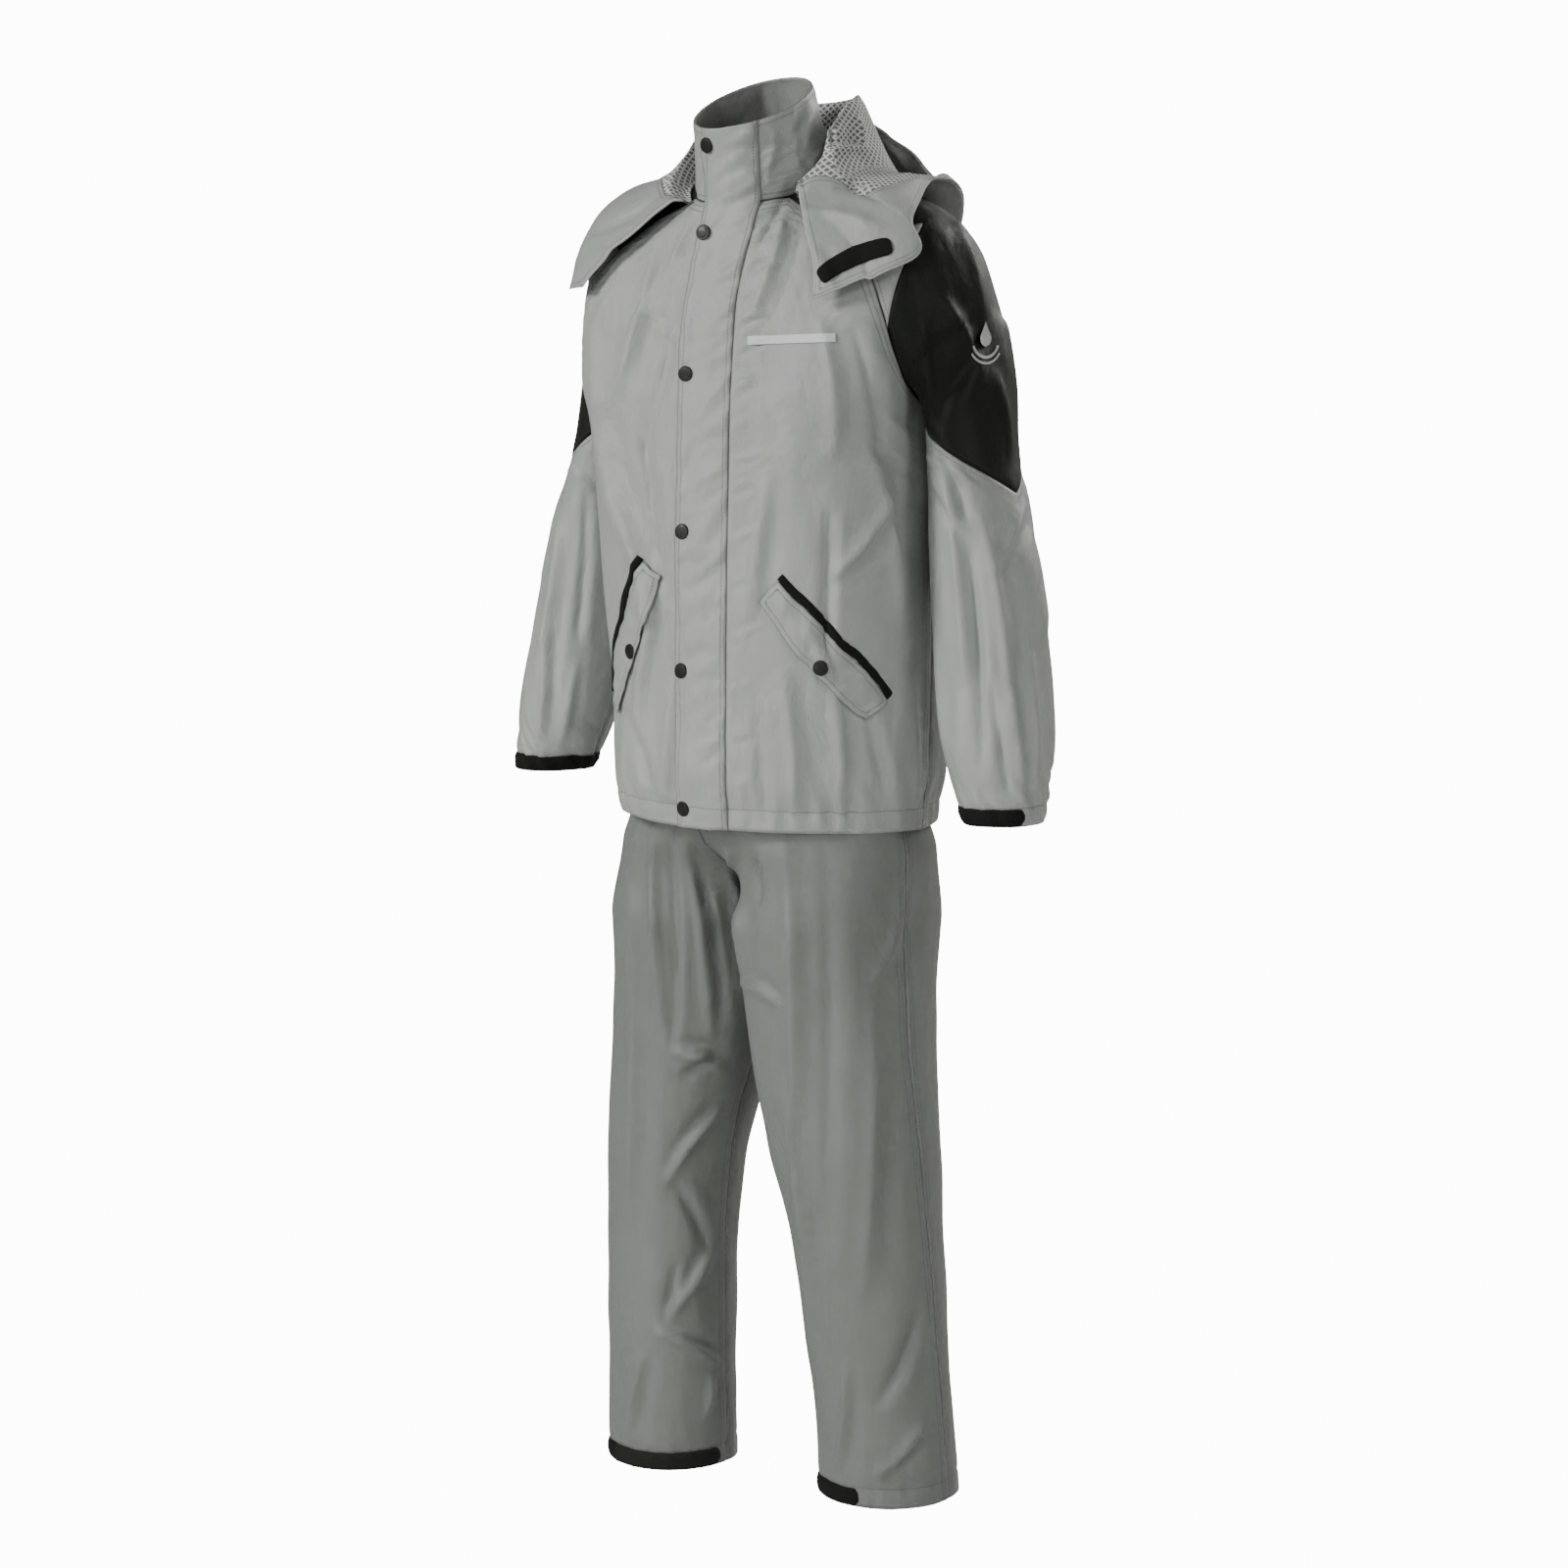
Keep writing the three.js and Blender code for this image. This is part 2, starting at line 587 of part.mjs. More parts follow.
// The collar stands on the neck seam, from the zip round the back to the zip again.
function collarGrid() {
  const topRow = (grid) => grid[grid.length - 1];
  const neck = [
    ...topRow(fronts[1]), ...topRow(overarms[1]).slice(1), ...topRow(back).slice(1),
    ...[...topRow(overarms[-1])].reverse().slice(1), ...[...topRow(fronts[-1])].reverse().slice(1),
  ];
  return makeGrid(counts.collarRows, neck.length - 1, (j, i) => {
    const foot = neck[i];
    const angle = Math.atan2(foot.x, -(foot.y + 33));
    const top = new THREE.Vector3(
      collar.halfWidth * Math.sin(angle),
      collar.centreY - collar.halfDepth * Math.cos(angle),
      mix(collar.frontZ, collar.backZ, (1 - Math.cos(angle)) / 2) + collar.roll * foot.x,
    );
    return foot.clone().lerp(top, j / counts.collarRows);
  });
}
const collarPoints = collarGrid();
jacketPanels.push({ name: 'collar', side: 1, grid: collarPoints, colour: 'shell' });
addPanels(jacketPanels);

// The storm flap over the zip, and its snaps

// Points of the two fronts, then of the collar, across the centre front.
const centreRows = [
  ...fronts[1].map((row, j) => [...[...fronts[-1][j]].reverse(), ...row.slice(1)]),
  ...collarPoints.slice(1).map((row) => [...row.slice(-8), ...row.slice(1, 8)]),
];

function pointAtX(row, x) {
  let k = 0;
  while (k < row.length - 2 && row[k + 1].x < x) k += 1;
  return row[k].clone().lerp(row[k + 1], (x - row[k].x) / (row[k + 1].x - row[k].x));
}

const flapGrid = makeGrid(centreRows.length - 1, counts.flap, (j, i) => {
  const row = centreRows[j];
  const shift = flap.collarShift * ease(-160, -40, row[Math.floor(row.length / 2)].z);
  return pointAtX(row, mix(flap.freeX, flap.sewnX, i / counts.flap) + shift);
});
addOnPanel('storm_flap', 1, flapGrid, 'shell', flap.lies);

function addSnap(name, grid, side, x, y, under) {
  const profile = [[0, 0], [1, 0], [1, 0.45], [0.8, 0.85], [0, 1]];
  const points = profile.map(([r, h]) => new THREE.Vector2(r * snap.radius, h * snap.height));
  const mesh = addMesh(name, new THREE.LatheGeometry(points, 12), 'snap', 0.35);
  const at = onPanel(grid, x, y);
  const across = onPanel(grid, x + 5, y).sub(onPanel(grid, x - 5, y));
  const up = onPanel(grid, x, y + 5).sub(onPanel(grid, x, y - 5));
  const normal = across.cross(up).normalize().multiplyScalar(side);
  mesh.quaternion.setFromUnitVectors(new THREE.Vector3(0, 1, 0), normal);
  mesh.position.copy(at).addScaledVector(normal, under);
}

snapHeights.forEach((z, k) => {
  const column = flapGrid.map((row) => row[0]);
  let y = 0;
  let j = 0;
  while (column[j + 1].z < z) {
    y += column[j].distanceTo(column[j + 1]);
    j += 1;
  }
  y += column[j].distanceTo(column[j + 1]) * (z - column[j].z) / (column[j + 1].z - column[j].z);
  addSnap(`snap_${k + 1}`, flapGrid, 1, snap.inFromEdge, y, flap.lies.clear + flap.lies.thickness + lift);
});

// Pockets: a black welt down a slanted line, with a grey flap along its front side

for (const [word, side] of sides) {
  const { top, bottom } = pocket[side];
  const length = Math.hypot(bottom[0] - top[0], bottom[1] - top[1]);
  const slope = [(bottom[0] - top[0]) / length, (bottom[1] - top[1]) / length];
  // down: along the welt from its top, ahead: square to it, towards the centre front
  const place = (down, ahead) => onPanel(fronts[side],
    top[0] + down * slope[0] + ahead * slope[1], top[1] + down * slope[1] - ahead * slope[0]);
  const steps = counts.pocket;
  const weltGrid = makeGrid(steps, 1, (j, i) => place(length * (1 - j / steps), mix(welt / 2, -welt / 2, i)));
  addOnPanel(`pocket_welt_${word}`, side, weltGrid, 'tape', pocketLies);
  const flapPoints = makeGrid(steps, 3, (j, i) => {
    const reach = pocketFlap.depth + pocketFlap.bulge * Math.sin(Math.PI * j / steps);
    return place(length * (1.01 - j / steps), welt / 2 + seamGap + reach * (1 - i / 3));
  });
  addOnPanel(`pocket_flap_${word}`, side, flapPoints, 'shell', pocketLies);
  const snapAt = [snap.inFromEdge, length * pocketFlap.snapShare];
  addSnap(`pocket_snap_${word}`, flapPoints, side, ...snapAt, pocketLies.clear + thinWall + 2 * lift);
}

// Tapes with hook and loop round the cuffs and along the hems of the legs

// A tape laid on a panel, with its points on the panel's own columns.
function addTape(name, grid, side, { from, to, low, high }) {
  const stops = [from];
  for (let i = Math.floor(from) + 1; i < to; i += 1) stops.push(i);
  stops.push(to);
  const rows = [low, high].map((height) => stops.map((at) => {
    const i = Math.min(Math.floor(at), grid[0].length - 2);
    const [a, b] = [i, i + 1].map((column) => walk(grid.map((row) => row[column]), height));
    return a.lerp(b, at - i);
  }));
  addOnPanel(name, side, rows, 'tape');
}

for (const [word, side] of sides) {
  const half = counts.sleeve / 2;
  const ring = lowerSleeves[side].map((row) => [...row.slice(half, -1), ...row.slice(0, half + 1)]);
  addTape(`cuff_tape_${word}`, ring, side, cuffTape);
}

// Trousers

const trouserRows = [];
for (let j = 0; j <= counts.legRows; j += 1) trouserRows.push(mix(trouserHemZ, crotchZ, j / counts.legRows));
for (let j = 1; j <= 3; j += 1) trouserRows.push(mix(crotchZ, forkZ, j / 3));
for (let j = 1; j <= counts.hipRows - 3; j += 1) {
  trouserRows.push(mix(forkZ, waistZ, j / (counts.hipRows - 3)));
}

function twist(point, degrees) {
  return point.applyAxisAngle(new THREE.Vector3(0, 0, 1), THREE.MathUtils.degToRad(degrees));
}

// share is 0 at the centre seam or inseam and 1 at the outseam.
function trouserPoint(side, isBack, z, share) {
  const hip = section(hips, 'z', Math.max(z, crotchZ));
  const leg = section(legs[side], 'z', Math.min(z, crotchZ));
  const depth = isBack ? hip.back : -hip.front;
  const seam = [hip.half, 0, z];
  const onHip = quarter(side, share, { turn: 1, corner: hip.corner, seam, centre: [depth, z] });
  const angle = Math.PI * (share - 0.5);
  const ring = roundedSquare(angle, leg.corner);
  const ahead = ring.ahead * leg.deep;
  const onLeg = new THREE.Vector3(
    side * (leg.x + Math.sign(angle) * ring.across * leg.across),
    leg.y + (isBack ? ahead : -ahead),
    z,
  );
  return twist(onHip.lerp(onLeg, 1 - ease(crotchZ, forkZ, z)), hipTwist * ease(trouserHemZ, -900, z));
}

const trouserCreases = {
  front: [
    { from: [150, 640], to: [60, 250], width: 24, height: -7 },
    { from: [90, 660], to: [95, 300], width: 20, height: 6 },
    { from: [190, 600], to: [130, 120], width: 24, height: 5 },
    { from: [60, 300], to: [150, 120], width: 20, height: -4 },
  ],
  back: [
    { from: [60, 680], to: [120, 360], width: 26, height: 7 },
    { from: [170, 560], to: [110, 200], width: 24, height: -6 },
    { from: [60, 340], to: [160, 220], width: 20, height: 5 },
  ],
};

const trousers = { front: {}, back: {} };
const trouserPanels = [];
for (const [word, side] of sides) {
  for (const half of ['front', 'back']) {
    const isBack = half === 'back';
    const grid = makeGrid(trouserRows.length - 1, counts.leg, (j, i) => (
      trouserPoint(side, isBack, trouserRows[j], i / counts.leg)));
    const facing = isBack ? -side : side;
    trousers[half][side] = crease(grid, facing, trouserCreases[half]);
    trouserPanels.push({
      name: `trousers_${half}_${word}`,
      side: facing,
      grid: trousers[half][side],
      colour: 'trousers',
      inset: trouserInset,
    });
  }
}
const top = trouserRows.length - 1;
const waist = [
  ...trousers.back[1][top], ...[...trousers.front[1][top]].reverse().slice(1),
  ...trousers.front[-1][top].slice(1), ...[...trousers.back[-1][top]].reverse().slice(1),
].reverse();
const waistGrid = [waist, waist.map((p) => p.clone().setZ(waistZ + waistband))];
trouserPanels.push({ name: 'waistband', side: 1, grid: waistGrid, colour: 'trousers' });
addPanels(trouserPanels);
for (const [word, side] of sides) addTape(`leg_tape_${word}`, trousers.front[side], side, legTape[side]);

// Hood

// A place on the shoulders: round is 0 at the centre front and 1 at the centre back.
function shoulderPoint(side, along, round) {
  if (round < 1 / 3) return yokePoint(side, false, along, round * 3);
  if (round > 2 / 3) return yokePoint(side, true, along, (1 - round) * 3);
  return sleevePoint(side, along, (round - 0.5) * 6);
}

function shoulderNormal(side, along, round) {
  const step = 0.02;
  const a = clamp(along, step, 1 - step);
  const r = clamp(round, step, 1 - step);
  const across = shoulderPoint(side, a, r + step).sub(shoulderPoint(side, a, r - step));
  const down = shoulderPoint(side, a + step, r).sub(shoulderPoint(side, a - step, r));
  const normal = down.cross(across).multiplyScalar(side).normalize();
  if (round > 1 - step) normal.setX(0).normalize();
  return normal;
}

// share runs from the neck seam at 0 to the rim at 1.
function hoodPoint(side, turn, share) {
  const s = section(hood[side], 'turn', turn);
  const down = clamp(share / s.lowAt, 0, 1);
  const along = mix(hoodStart, s.low, mix(down, ease(0, 1, down), (1 - s.lowAt) * 2))
    + (s.end - s.low) * ease(s.lowAt, 1.001, share);
  const round = mix(s.seam, s.rim, share ** hoodSpread);
  const settled = mix(2 * thinWall + hoodGap + 2 * lift, hoodClearance, ease(0, crestAt, share));
  const fall = Math.max(share - crestAt, 0) / crestFall;
  const crest = s.crest * ease(0, crestAt, share) * Math.exp(-(fall ** 2));
  const point = shoulderPoint(side, along, round);
  point.addScaledVector(shoulderNormal(side, along, round), settled);
  point.z += crest + s.stand * ease(0.5, 1, share);
  return point;
}

const hoodRows = counts.liningRows + counts.facingRows;
const hoodGrid = makeGrid(hoodRows, 2 * counts.hood, (j, i) => {
  const side = i <= counts.hood ? 1 : -1;
  const turn = side > 0 ? i / counts.hood : 2 - i / counts.hood;
  const { border } = section(hood[side], 'turn', turn);
  const row = hoodRows - j;
  const share = row <= counts.liningRows
    ? border * (row / counts.liningRows) ** liningGather
    : mix(border, 1, (row - counts.liningRows) / counts.facingRows);
  return hoodPoint(side, turn, share);
});
const hoodNormals = faceNormals(hoodGrid);
const facingGrid = hoodGrid.slice(0, counts.facingRows + 1);
const liningGrid = hoodGrid.slice(counts.facingRows);

// The points of a grid moved square to the faces beside them, further where the grid is folded.
function offsetGrid(grid, normals, distance) {
  return grid.map((row, j) => row.map((p, i) => {
    let least = 1;
    for (const [down, across] of [[1, 1], [1, -1], [-1, 1], [-1, -1]]) {
      if (!grid[j + down] || !row[i + across]) continue;
      const face = row[i + across].clone().sub(p).cross(grid[j + down][i].clone().sub(p)).normalize();
      least = Math.min(least, Math.abs(face.dot(normals[j][i])));
    }
    return p.clone().addScaledVector(normals[j][i], distance / Math.max(least, 0.5));
  }));
}
const shellGrid = offsetGrid(hoodGrid, hoodNormals, -thinWall - hoodGap);
const facingNormals = hoodNormals.slice(0, counts.facingRows + 1);
const liningNormals = hoodNormals.slice(counts.facingRows);
addMesh('hood_facing', wallGeometry(facingGrid, facingNormals, thinWall), 'shell');
addMesh('hood_lining', wallGeometry(liningGrid, liningNormals, thinWall, liningInset), 'mesh');
addMesh('hood_shell', wallGeometry(shellGrid, hoodNormals, thinWall), 'shell');

// The tape on the turned-out facing, placed by shares of the facing's own grid.
const facingFoot = hood[1].map((s) => s.border);
function onFacing(turn, share) {
  const column = turn * counts.hood;
  const i = Math.floor(column);
  const border = mix(facingFoot[i], facingFoot[i + 1], column - i);
  const row = counts.facingRows * (1 - (share - border) / (1 - border));
  const j = clamp(Math.floor(row), 0, counts.facingRows - 1);
  const low = facingGrid[j][i].clone().lerp(facingGrid[j][i + 1], column - i);
  const high = facingGrid[j + 1][i].clone().lerp(facingGrid[j + 1][i + 1], column - i);
  return low.lerp(high, row - j);
}
const { fromTurn, toTurn, low, high } = hoodTape;
const hoodTapeGrid = makeGrid(2, 6, (j, i) => onFacing(mix(fromTurn, toTurn, i / 6), mix(low, high, j / 2)));
addOnPanel('hood_tape', 1, hoodTapeGrid, 'tape', { clear: 3 * lift });

export default suit;
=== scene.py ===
import math

import bmesh
import bpy
import numpy as np
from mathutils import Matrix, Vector, noise


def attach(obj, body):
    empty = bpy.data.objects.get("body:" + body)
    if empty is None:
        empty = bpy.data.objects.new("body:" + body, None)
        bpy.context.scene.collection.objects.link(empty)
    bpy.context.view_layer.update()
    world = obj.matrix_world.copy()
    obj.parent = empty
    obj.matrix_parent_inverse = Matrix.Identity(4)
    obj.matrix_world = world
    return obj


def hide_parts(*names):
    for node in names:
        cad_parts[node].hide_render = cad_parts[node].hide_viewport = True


# A rain suit, hooded jacket over trousers, filled out with no wearer.

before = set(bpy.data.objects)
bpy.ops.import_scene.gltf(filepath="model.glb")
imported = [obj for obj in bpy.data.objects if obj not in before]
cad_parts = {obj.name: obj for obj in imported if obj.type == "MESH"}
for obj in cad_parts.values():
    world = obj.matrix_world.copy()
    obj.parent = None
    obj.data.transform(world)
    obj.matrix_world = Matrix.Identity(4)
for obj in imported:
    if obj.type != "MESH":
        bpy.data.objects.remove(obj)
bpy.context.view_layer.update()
root = "root"

# The tables give the sewn shape in millimetres: +Z up, the wearer faces -Y, their left is +X.
# Side 1 is the wearer's left and side -1 their right.

torso = np.array([  # up, half width, side y, front, back, corners left, right and back
    [0, 176, 0, 156, 152, 2.1, 2.1, 2.1],
    [0.055, 178, 0, 158, 153, 2.1, 2.2, 2.1],
    [0.13, 183, 2, 163, 158, 2.2, 2.15, 2.2],
    [0.35, 184, 5, 160, 153, 2.5, 2.2, 2.4],
    [0.65, 182, 12, 157, 146, 3.0, 3.1, 2.8],
    [1, 181, 22, 153, 138, 3.5, 4.4, 3.2],
])
sleeve = np.array([  # along, front seam, outer line, back seam, depth, spread, tuck, flat
    [0, 57, -76, -37, 75, -30, -20, 57, 16, -4, 72, 40, 0, 1],
    [0.25, 106, -88, -66, 127, -16, -30, 100, 60, -38, 86, 58, 2, 1],
    [0.5, 158, -98, -108, 189, 0, -48, 150, 92, -105, 96, 80, 12, 0.85],
    [0.7, 182, -104, -152, 225, 8, -84, 172, 102, -165, 99, 103, 20, 0.76],
    [0.88, 187, -66, -224, 243, 18, -150, 178, 88, -230, 90, 138, 20, 0.85],
    [1, 181, 22, -275, 255, 26, -214, 181, 22, -275, 77, 180, 14, 0.95],
    [1.18, 184, 24, -350, 267, 24, -312, 184, 24, -350, 72, 180, 8, 1],
    [1.4, 188, 16, -440, 298, 14, -415, 188, 16, -440, 67, 180, 9, 1],
    [1.6, 197, 6, -522, 317, 4, -508, 197, 6, -522, 66, 180, 11, 1],
    [1.8, 213, -5, -610, 330, -6, -602, 213, -5, -610, 63, 180, 13, 1],
    [1.93, 230, -10, -662, 327, -10, -660, 230, -10, -662, 53, 180, 6, 1],
    [2, 241, -12, -690, 323, -12, -690, 241, -12, -690, 46, 180, -3, 1],
])
yoke = np.array([  # along, chest y and z, nape y and z, front turn, back turn
    [0, -112, -44, 42, 4, 0.56, 0.56],
    [0.25, -124, -88, 76, -44, 0.64, 0.66],
    [0.5, -136, -140, 106, -112, 0.74, 0.78],
    [0.7, -144, -190, 122, -170, 0.82, 0.86],
    [0.88, -150, -242, 133, -232, 0.93, 0.94],
    [1, -153, -292, 138, -288, 1, 1],
])
hips = np.array([  # z, half width, front, back, corner
    [-812, 177, 130, 134, 2.3],
    [-735, 177, 136, 134, 2.5],
    [-700, 171, 132, 129, 2.3],
    [-560, 160, 126, 122, 2.2],
    [-395, 150, 118, 112, 2.2],
])
legs = {  # z, x, y, half width, half depth, corner
    1: np.array([
        [-1441, 138, 2, 75, 76, 2.1],
        [-1385, 137, -2, 74, 75, 2.1],
        [-1290, 134, -8, 75, 76, 2.1],
        [-1150, 126, -13, 81, 86, 2.1],
        [-1050, 115, -14, 87, 95, 2.2],
        [-900, 94, -8, 91, 111, 2.3],
        [-812, 89, -4, 89, 124, 2.4],
    ]),
    -1: np.array([
        [-1441, 140, 2, 71, 73, 2.1],
        [-1385, 138, -2, 71, 72, 2.1],
        [-1290, 136, -8, 70, 72, 2.1],
        [-1150, 133, -13, 71, 75, 2.1],
        [-1050, 124, -14, 76, 83, 2.2],
        [-900, 99, -8, 95, 102, 2.3],
        [-812, 93, -4, 93, 120, 2.4],
    ]),
}
hood = {  # turn in ninths, seam, rim, low, low at, end, crest, stand, border
    1: np.array([
        [0, 0.35, 0.194, 0.6, 1, 0.6, 4, 6, 0.05],
        [1, 0.375, 0.307, 0.6, 1, 0.6, 16, 5, 0.16],
        [2, 0.4, 0.4, 0.69, 1, 0.69, 30, 4, 0.3],
        [3, 0.43, 0.42, 0.56, 1, 0.56, 48, 3, 0.56],
        [4, 0.48, 0.515, 0.434, 1, 0.434, 58, 3, 0.88],
        [5, 0.56, 0.6, 0.5, 0.85, 0.44, 66, 30, 0.8],
        [6, 0.66, 0.68, 0.54, 0.72, 0.41, 70, 54, 0.74],
        [7, 0.77, 0.79, 0.64, 0.62, 0.38, 70, 84, 0.72],
        [8, 0.88, 0.9, 0.7, 0.6, 0.39, 70, 116, 0.72],
        [9, 1, 1, 0.74, 0.6, 0.41, 70, 130, 0.72],
    ]),
    -1: np.array([
        [0, 0.25, 0.285, 0.62, 1, 0.62, 0, 4, 0.05],
        [1, 0.32, 0.375, 0.7, 1, 0.7, 2, 5, 0.14],
        [2, 0.38, 0.462, 0.71, 1, 0.71, 6, 5, 0.2],
        [3, 0.43, 0.52, 0.62, 1, 0.62, 10, 4, 0.28],
        [4, 0.5, 0.56, 0.5, 0.95, 0.5, 24, 6, 0.5],
        [5, 0.57, 0.62, 0.5, 0.85, 0.45, 46, 32, 0.7],
        [6, 0.66, 0.69, 0.55, 0.72, 0.42, 66, 54, 0.72],
        [7, 0.77, 0.79, 0.66, 0.62, 0.39, 70, 80, 0.72],
        [8, 0.88, 0.9, 0.71, 0.6, 0.4, 70, 112, 0.72],
        [9, 1, 1, 0.74, 0.6, 0.41, 70, 130, 0.72],
    ]),
}
armpitZ = -275
hemZ = {"side": {1: -707, -1: -687}, "middle": -700}
armholeZ = {False: -292, True: -288}
armLength = {1: 1, -1: 0.945}
overarm = {"point": 1.25, "edge": 0.93, "power": 1.15}
gusset = {"from": 0.42, "corner": 0.56, "to": 0.76, "width": 0.34}
trouser = {"waist": -395, "fork": -700, "crotch": -812, "hem": -1441, "twist": -10}


def ease(low, high, x):
    t = np.clip((x - low) / (high - low), 0, 1)
    return t * t * (3 - 2 * t)


def mix(a, b, t):
    return a + (b - a) * t


# Every column of a table at values of its first column, on a smooth curve.
def section(table, at):
    last = len(table) - 1
    at = np.asarray(at, float)
    i = np.clip(np.searchsorted(table[1:-1, 0], at, side="left"), 0, last - 1)
    before, low, high, after = (table[np.clip(i + k, 0, last)] for k in (-1, 0, 1, 2))
    step = high[..., :1] - low[..., :1]
    t = np.clip((at[..., None] - low[..., :1]) / step, 0, 1)
    m = (high - before) / (high[..., :1] - before[..., :1]) * step
    n = (after - low) / (after[..., :1] - low[..., :1]) * step
    curve = low + t * (m + t * (3 * (high - low) - 2 * m - n + t * (2 * (low - high) + m + n)))
    return np.moveaxis(curve, -1, 0)


def pointsOf(x, y, z):
    return np.stack(np.broadcast_arrays(x, y, z), -1).astype(float)


def roundedSquare(angle, corner):
    sine, cosine = np.abs(np.sin(angle)), np.abs(np.cos(angle))
    reach = (sine ** corner + cosine ** corner) ** (-1 / corner)
    return reach * sine, reach * cosine


def quarter(side, share, turn, corner, seam, centre):
    across, ahead = roundedSquare(share * turn * math.pi / 2, corner)
    endAcross, endAhead = roundedSquare(turn * math.pi / 2, corner)
    part = (ahead - endAhead) / (1 - endAhead)
    x = side * seam[0] * across / endAcross
    return pointsOf(x, mix(seam[1], centre[0], part), mix(seam[2], centre[1], part))


def torsoPoint(side, isBack, up, share):
    _, half, sideY, front, back, left, right, rear = section(torso, up)
    corner = rear if isBack else left if side > 0 else right
    middle = mix(hemZ["middle"], armholeZ[isBack], up)
    seam = (half, sideY, mix(hemZ["side"][side], armpitZ, up))
    return quarter(side, share, 1, corner, seam, (back if isBack else -front, middle))


def yokePoint(side, isBack, along, share):
    _, chestY, chestZ, napeY, napeZ, frontTurn, backTurn = section(yoke, along)
    arm = section(sleeve, along)
    full = torso[-1, 7] if isBack else torso[-1, 5] if side > 0 else torso[-1, 6]
    corner = mix(2.2, full, ease(0.6, 1.02, along))
    if isBack:
        return quarter(side, share, backTurn, corner, arm[7:10], (napeY, napeZ))
    return quarter(side, share, frontTurn, corner, arm[1:4], (chestY, chestZ))


def sleevePoint(side, along, turn):
    along, turn = np.broadcast_arrays(np.asarray(along, float), np.asarray(turn, float))
    s = section(sleeve, along)
    front, top, back = (np.moveaxis(s[k:k + 3], 0, -1).copy() for k in (1, 4, 7))
    depth, spread, tuck, flat = s[10], np.radians(s[11]), s[12], s[13]
    if side < 0:
        top[..., 0] -= tuck
        depth = np.where(turn < 0, depth * flat, depth)
    outward = top - (front + back) / 2
    length = np.linalg.norm(outward, axis=-1, keepdims=True)
    outward = outward / length
    reach = length[..., 0] / (1 - np.cos(spread))
    deep = back - front
    size = np.linalg.norm(deep, axis=-1, keepdims=True)
    deep = np.where(along[..., None] < 0.9, deep / np.maximum(size, 1e-6), [0, 1, 0])

    def at(share):
        return (top + outward * (reach * (np.cos(spread * share) - 1))[..., None]
                + deep * (depth * np.sin(spread * share))[..., None])

    end = np.where(turn[..., None] < 0, front - at(-1), back - at(1))
    point = at(turn) + end * (np.abs(turn) ** 4)[..., None]
    reachZ = mix(armpitZ, point[..., 2], mix(1, armLength[side], ease(1, 2, along)))
    point[..., 2] = np.where(along > 1, reachZ, point[..., 2])
    point[..., 0] *= side
    return point


def trouserPoint(side, isBack, z, share):
    _, half, front, back, hipCorner = section(hips, np.maximum(z, trouser["crotch"]))
    _, x, y, across, deep, corner = section(legs[side], np.minimum(z, trouser["crotch"]))
    onHip = quarter(side, share, 1, hipCorner, (half, 0, z), (back if isBack else -front, z))
    angle = math.pi * (share - 0.5)
    ringAcross, ringAhead = roundedSquare(angle, corner)
    ahead = ringAhead * deep * (1 if isBack else -1)
    onLeg = pointsOf(side * (x + np.sign(angle) * ringAcross * across), y + ahead, z)
    point = mix(onHip, onLeg, (1 - ease(trouser["crotch"], trouser["fork"], z))[..., None])
    angle = math.radians(trouser["twist"]) * ease(trouser["hem"], -900, z)
    c, s = np.cos(angle), np.sin(angle)
    return pointsOf(point[..., 0] * c - point[..., 1] * s, point[..., 0] * s + point[..., 1] * c, z)


def shoulderPoint(side, along, place):
    front = yokePoint(side, False, along, np.clip(place * 3, 0, 1))
    arm = sleevePoint(side, along, np.clip((place - 0.5) * 6, -1, 1))
    back = yokePoint(side, True, along, np.clip((1 - place) * 3, 0, 1))
    place = place[..., None]
    return np.where(place < 1 / 3, front, np.where(place > 2 / 3, back, arm))


def hoodPoint(side, turn, share):
    _, seam, rim, low, lowAt, end, crest, stand, _ = section(hood[side], turn * 9)
    down = np.clip(share / lowAt, 0, 1)
    along = mix(0.025, low, mix(down, ease(0, 1, down), (1 - lowAt) * 2))
    along = along + (end - low) * ease(lowAt, 1.001, share)
    place = mix(seam, rim, share ** 0.7)
    step = 0.02
    a, r = np.clip(along, step, 1 - step), np.clip(place, step, 1 - step)
    across = shoulderPoint(side, a, r + step) - shoulderPoint(side, a, r - step)
    descent = shoulderPoint(side, a + step, r) - shoulderPoint(side, a - step, r)
    normal = np.cross(descent, across) * side
    normal[..., 0] = np.where(place > 1 - step, 0, normal[..., 0])
    normal /= np.linalg.norm(normal, axis=-1, keepdims=True)
    point = shoulderPoint(side, along, place)
    point += normal * mix(4.1, 17.5, ease(0, 0.12, share))[..., None]
    fall = np.exp(-((np.maximum(share - 0.12, 0) / 0.16) ** 2))
    point[..., 2] += crest * ease(0, 0.12, share) * fall + stand * ease(0.5, 1, share)
    return point


# Cloth


def normalsOf(grid):
    rows = np.gradient(grid, axis=0)
    columns = np.gradient(grid, axis=1)
    normal = np.cross(columns, rows)
    return normal / np.maximum(np.linalg.norm(normal, axis=-1, keepdims=True), 1e-9)


# Arc length in millimetres along one way of a grid.
def lengths(grid, axis):
    steps = np.linalg.norm(np.diff(grid, axis=axis), axis=-1)
    first = np.zeros_like(np.take(steps, [0], axis=axis))
    return np.cumsum(np.concatenate([first, steps], axis=axis), axis=axis)


# Where points fall in the photograph, in its 1600 pixels.
def photoPlace(points):
    away = points - np.array(view["target"])
    depth = view["distance"] - away @ view["back"]
    scale = view["focal"] / depth
    return 800 + away @ view["right"] * scale, 800 - away @ view["up"] * scale


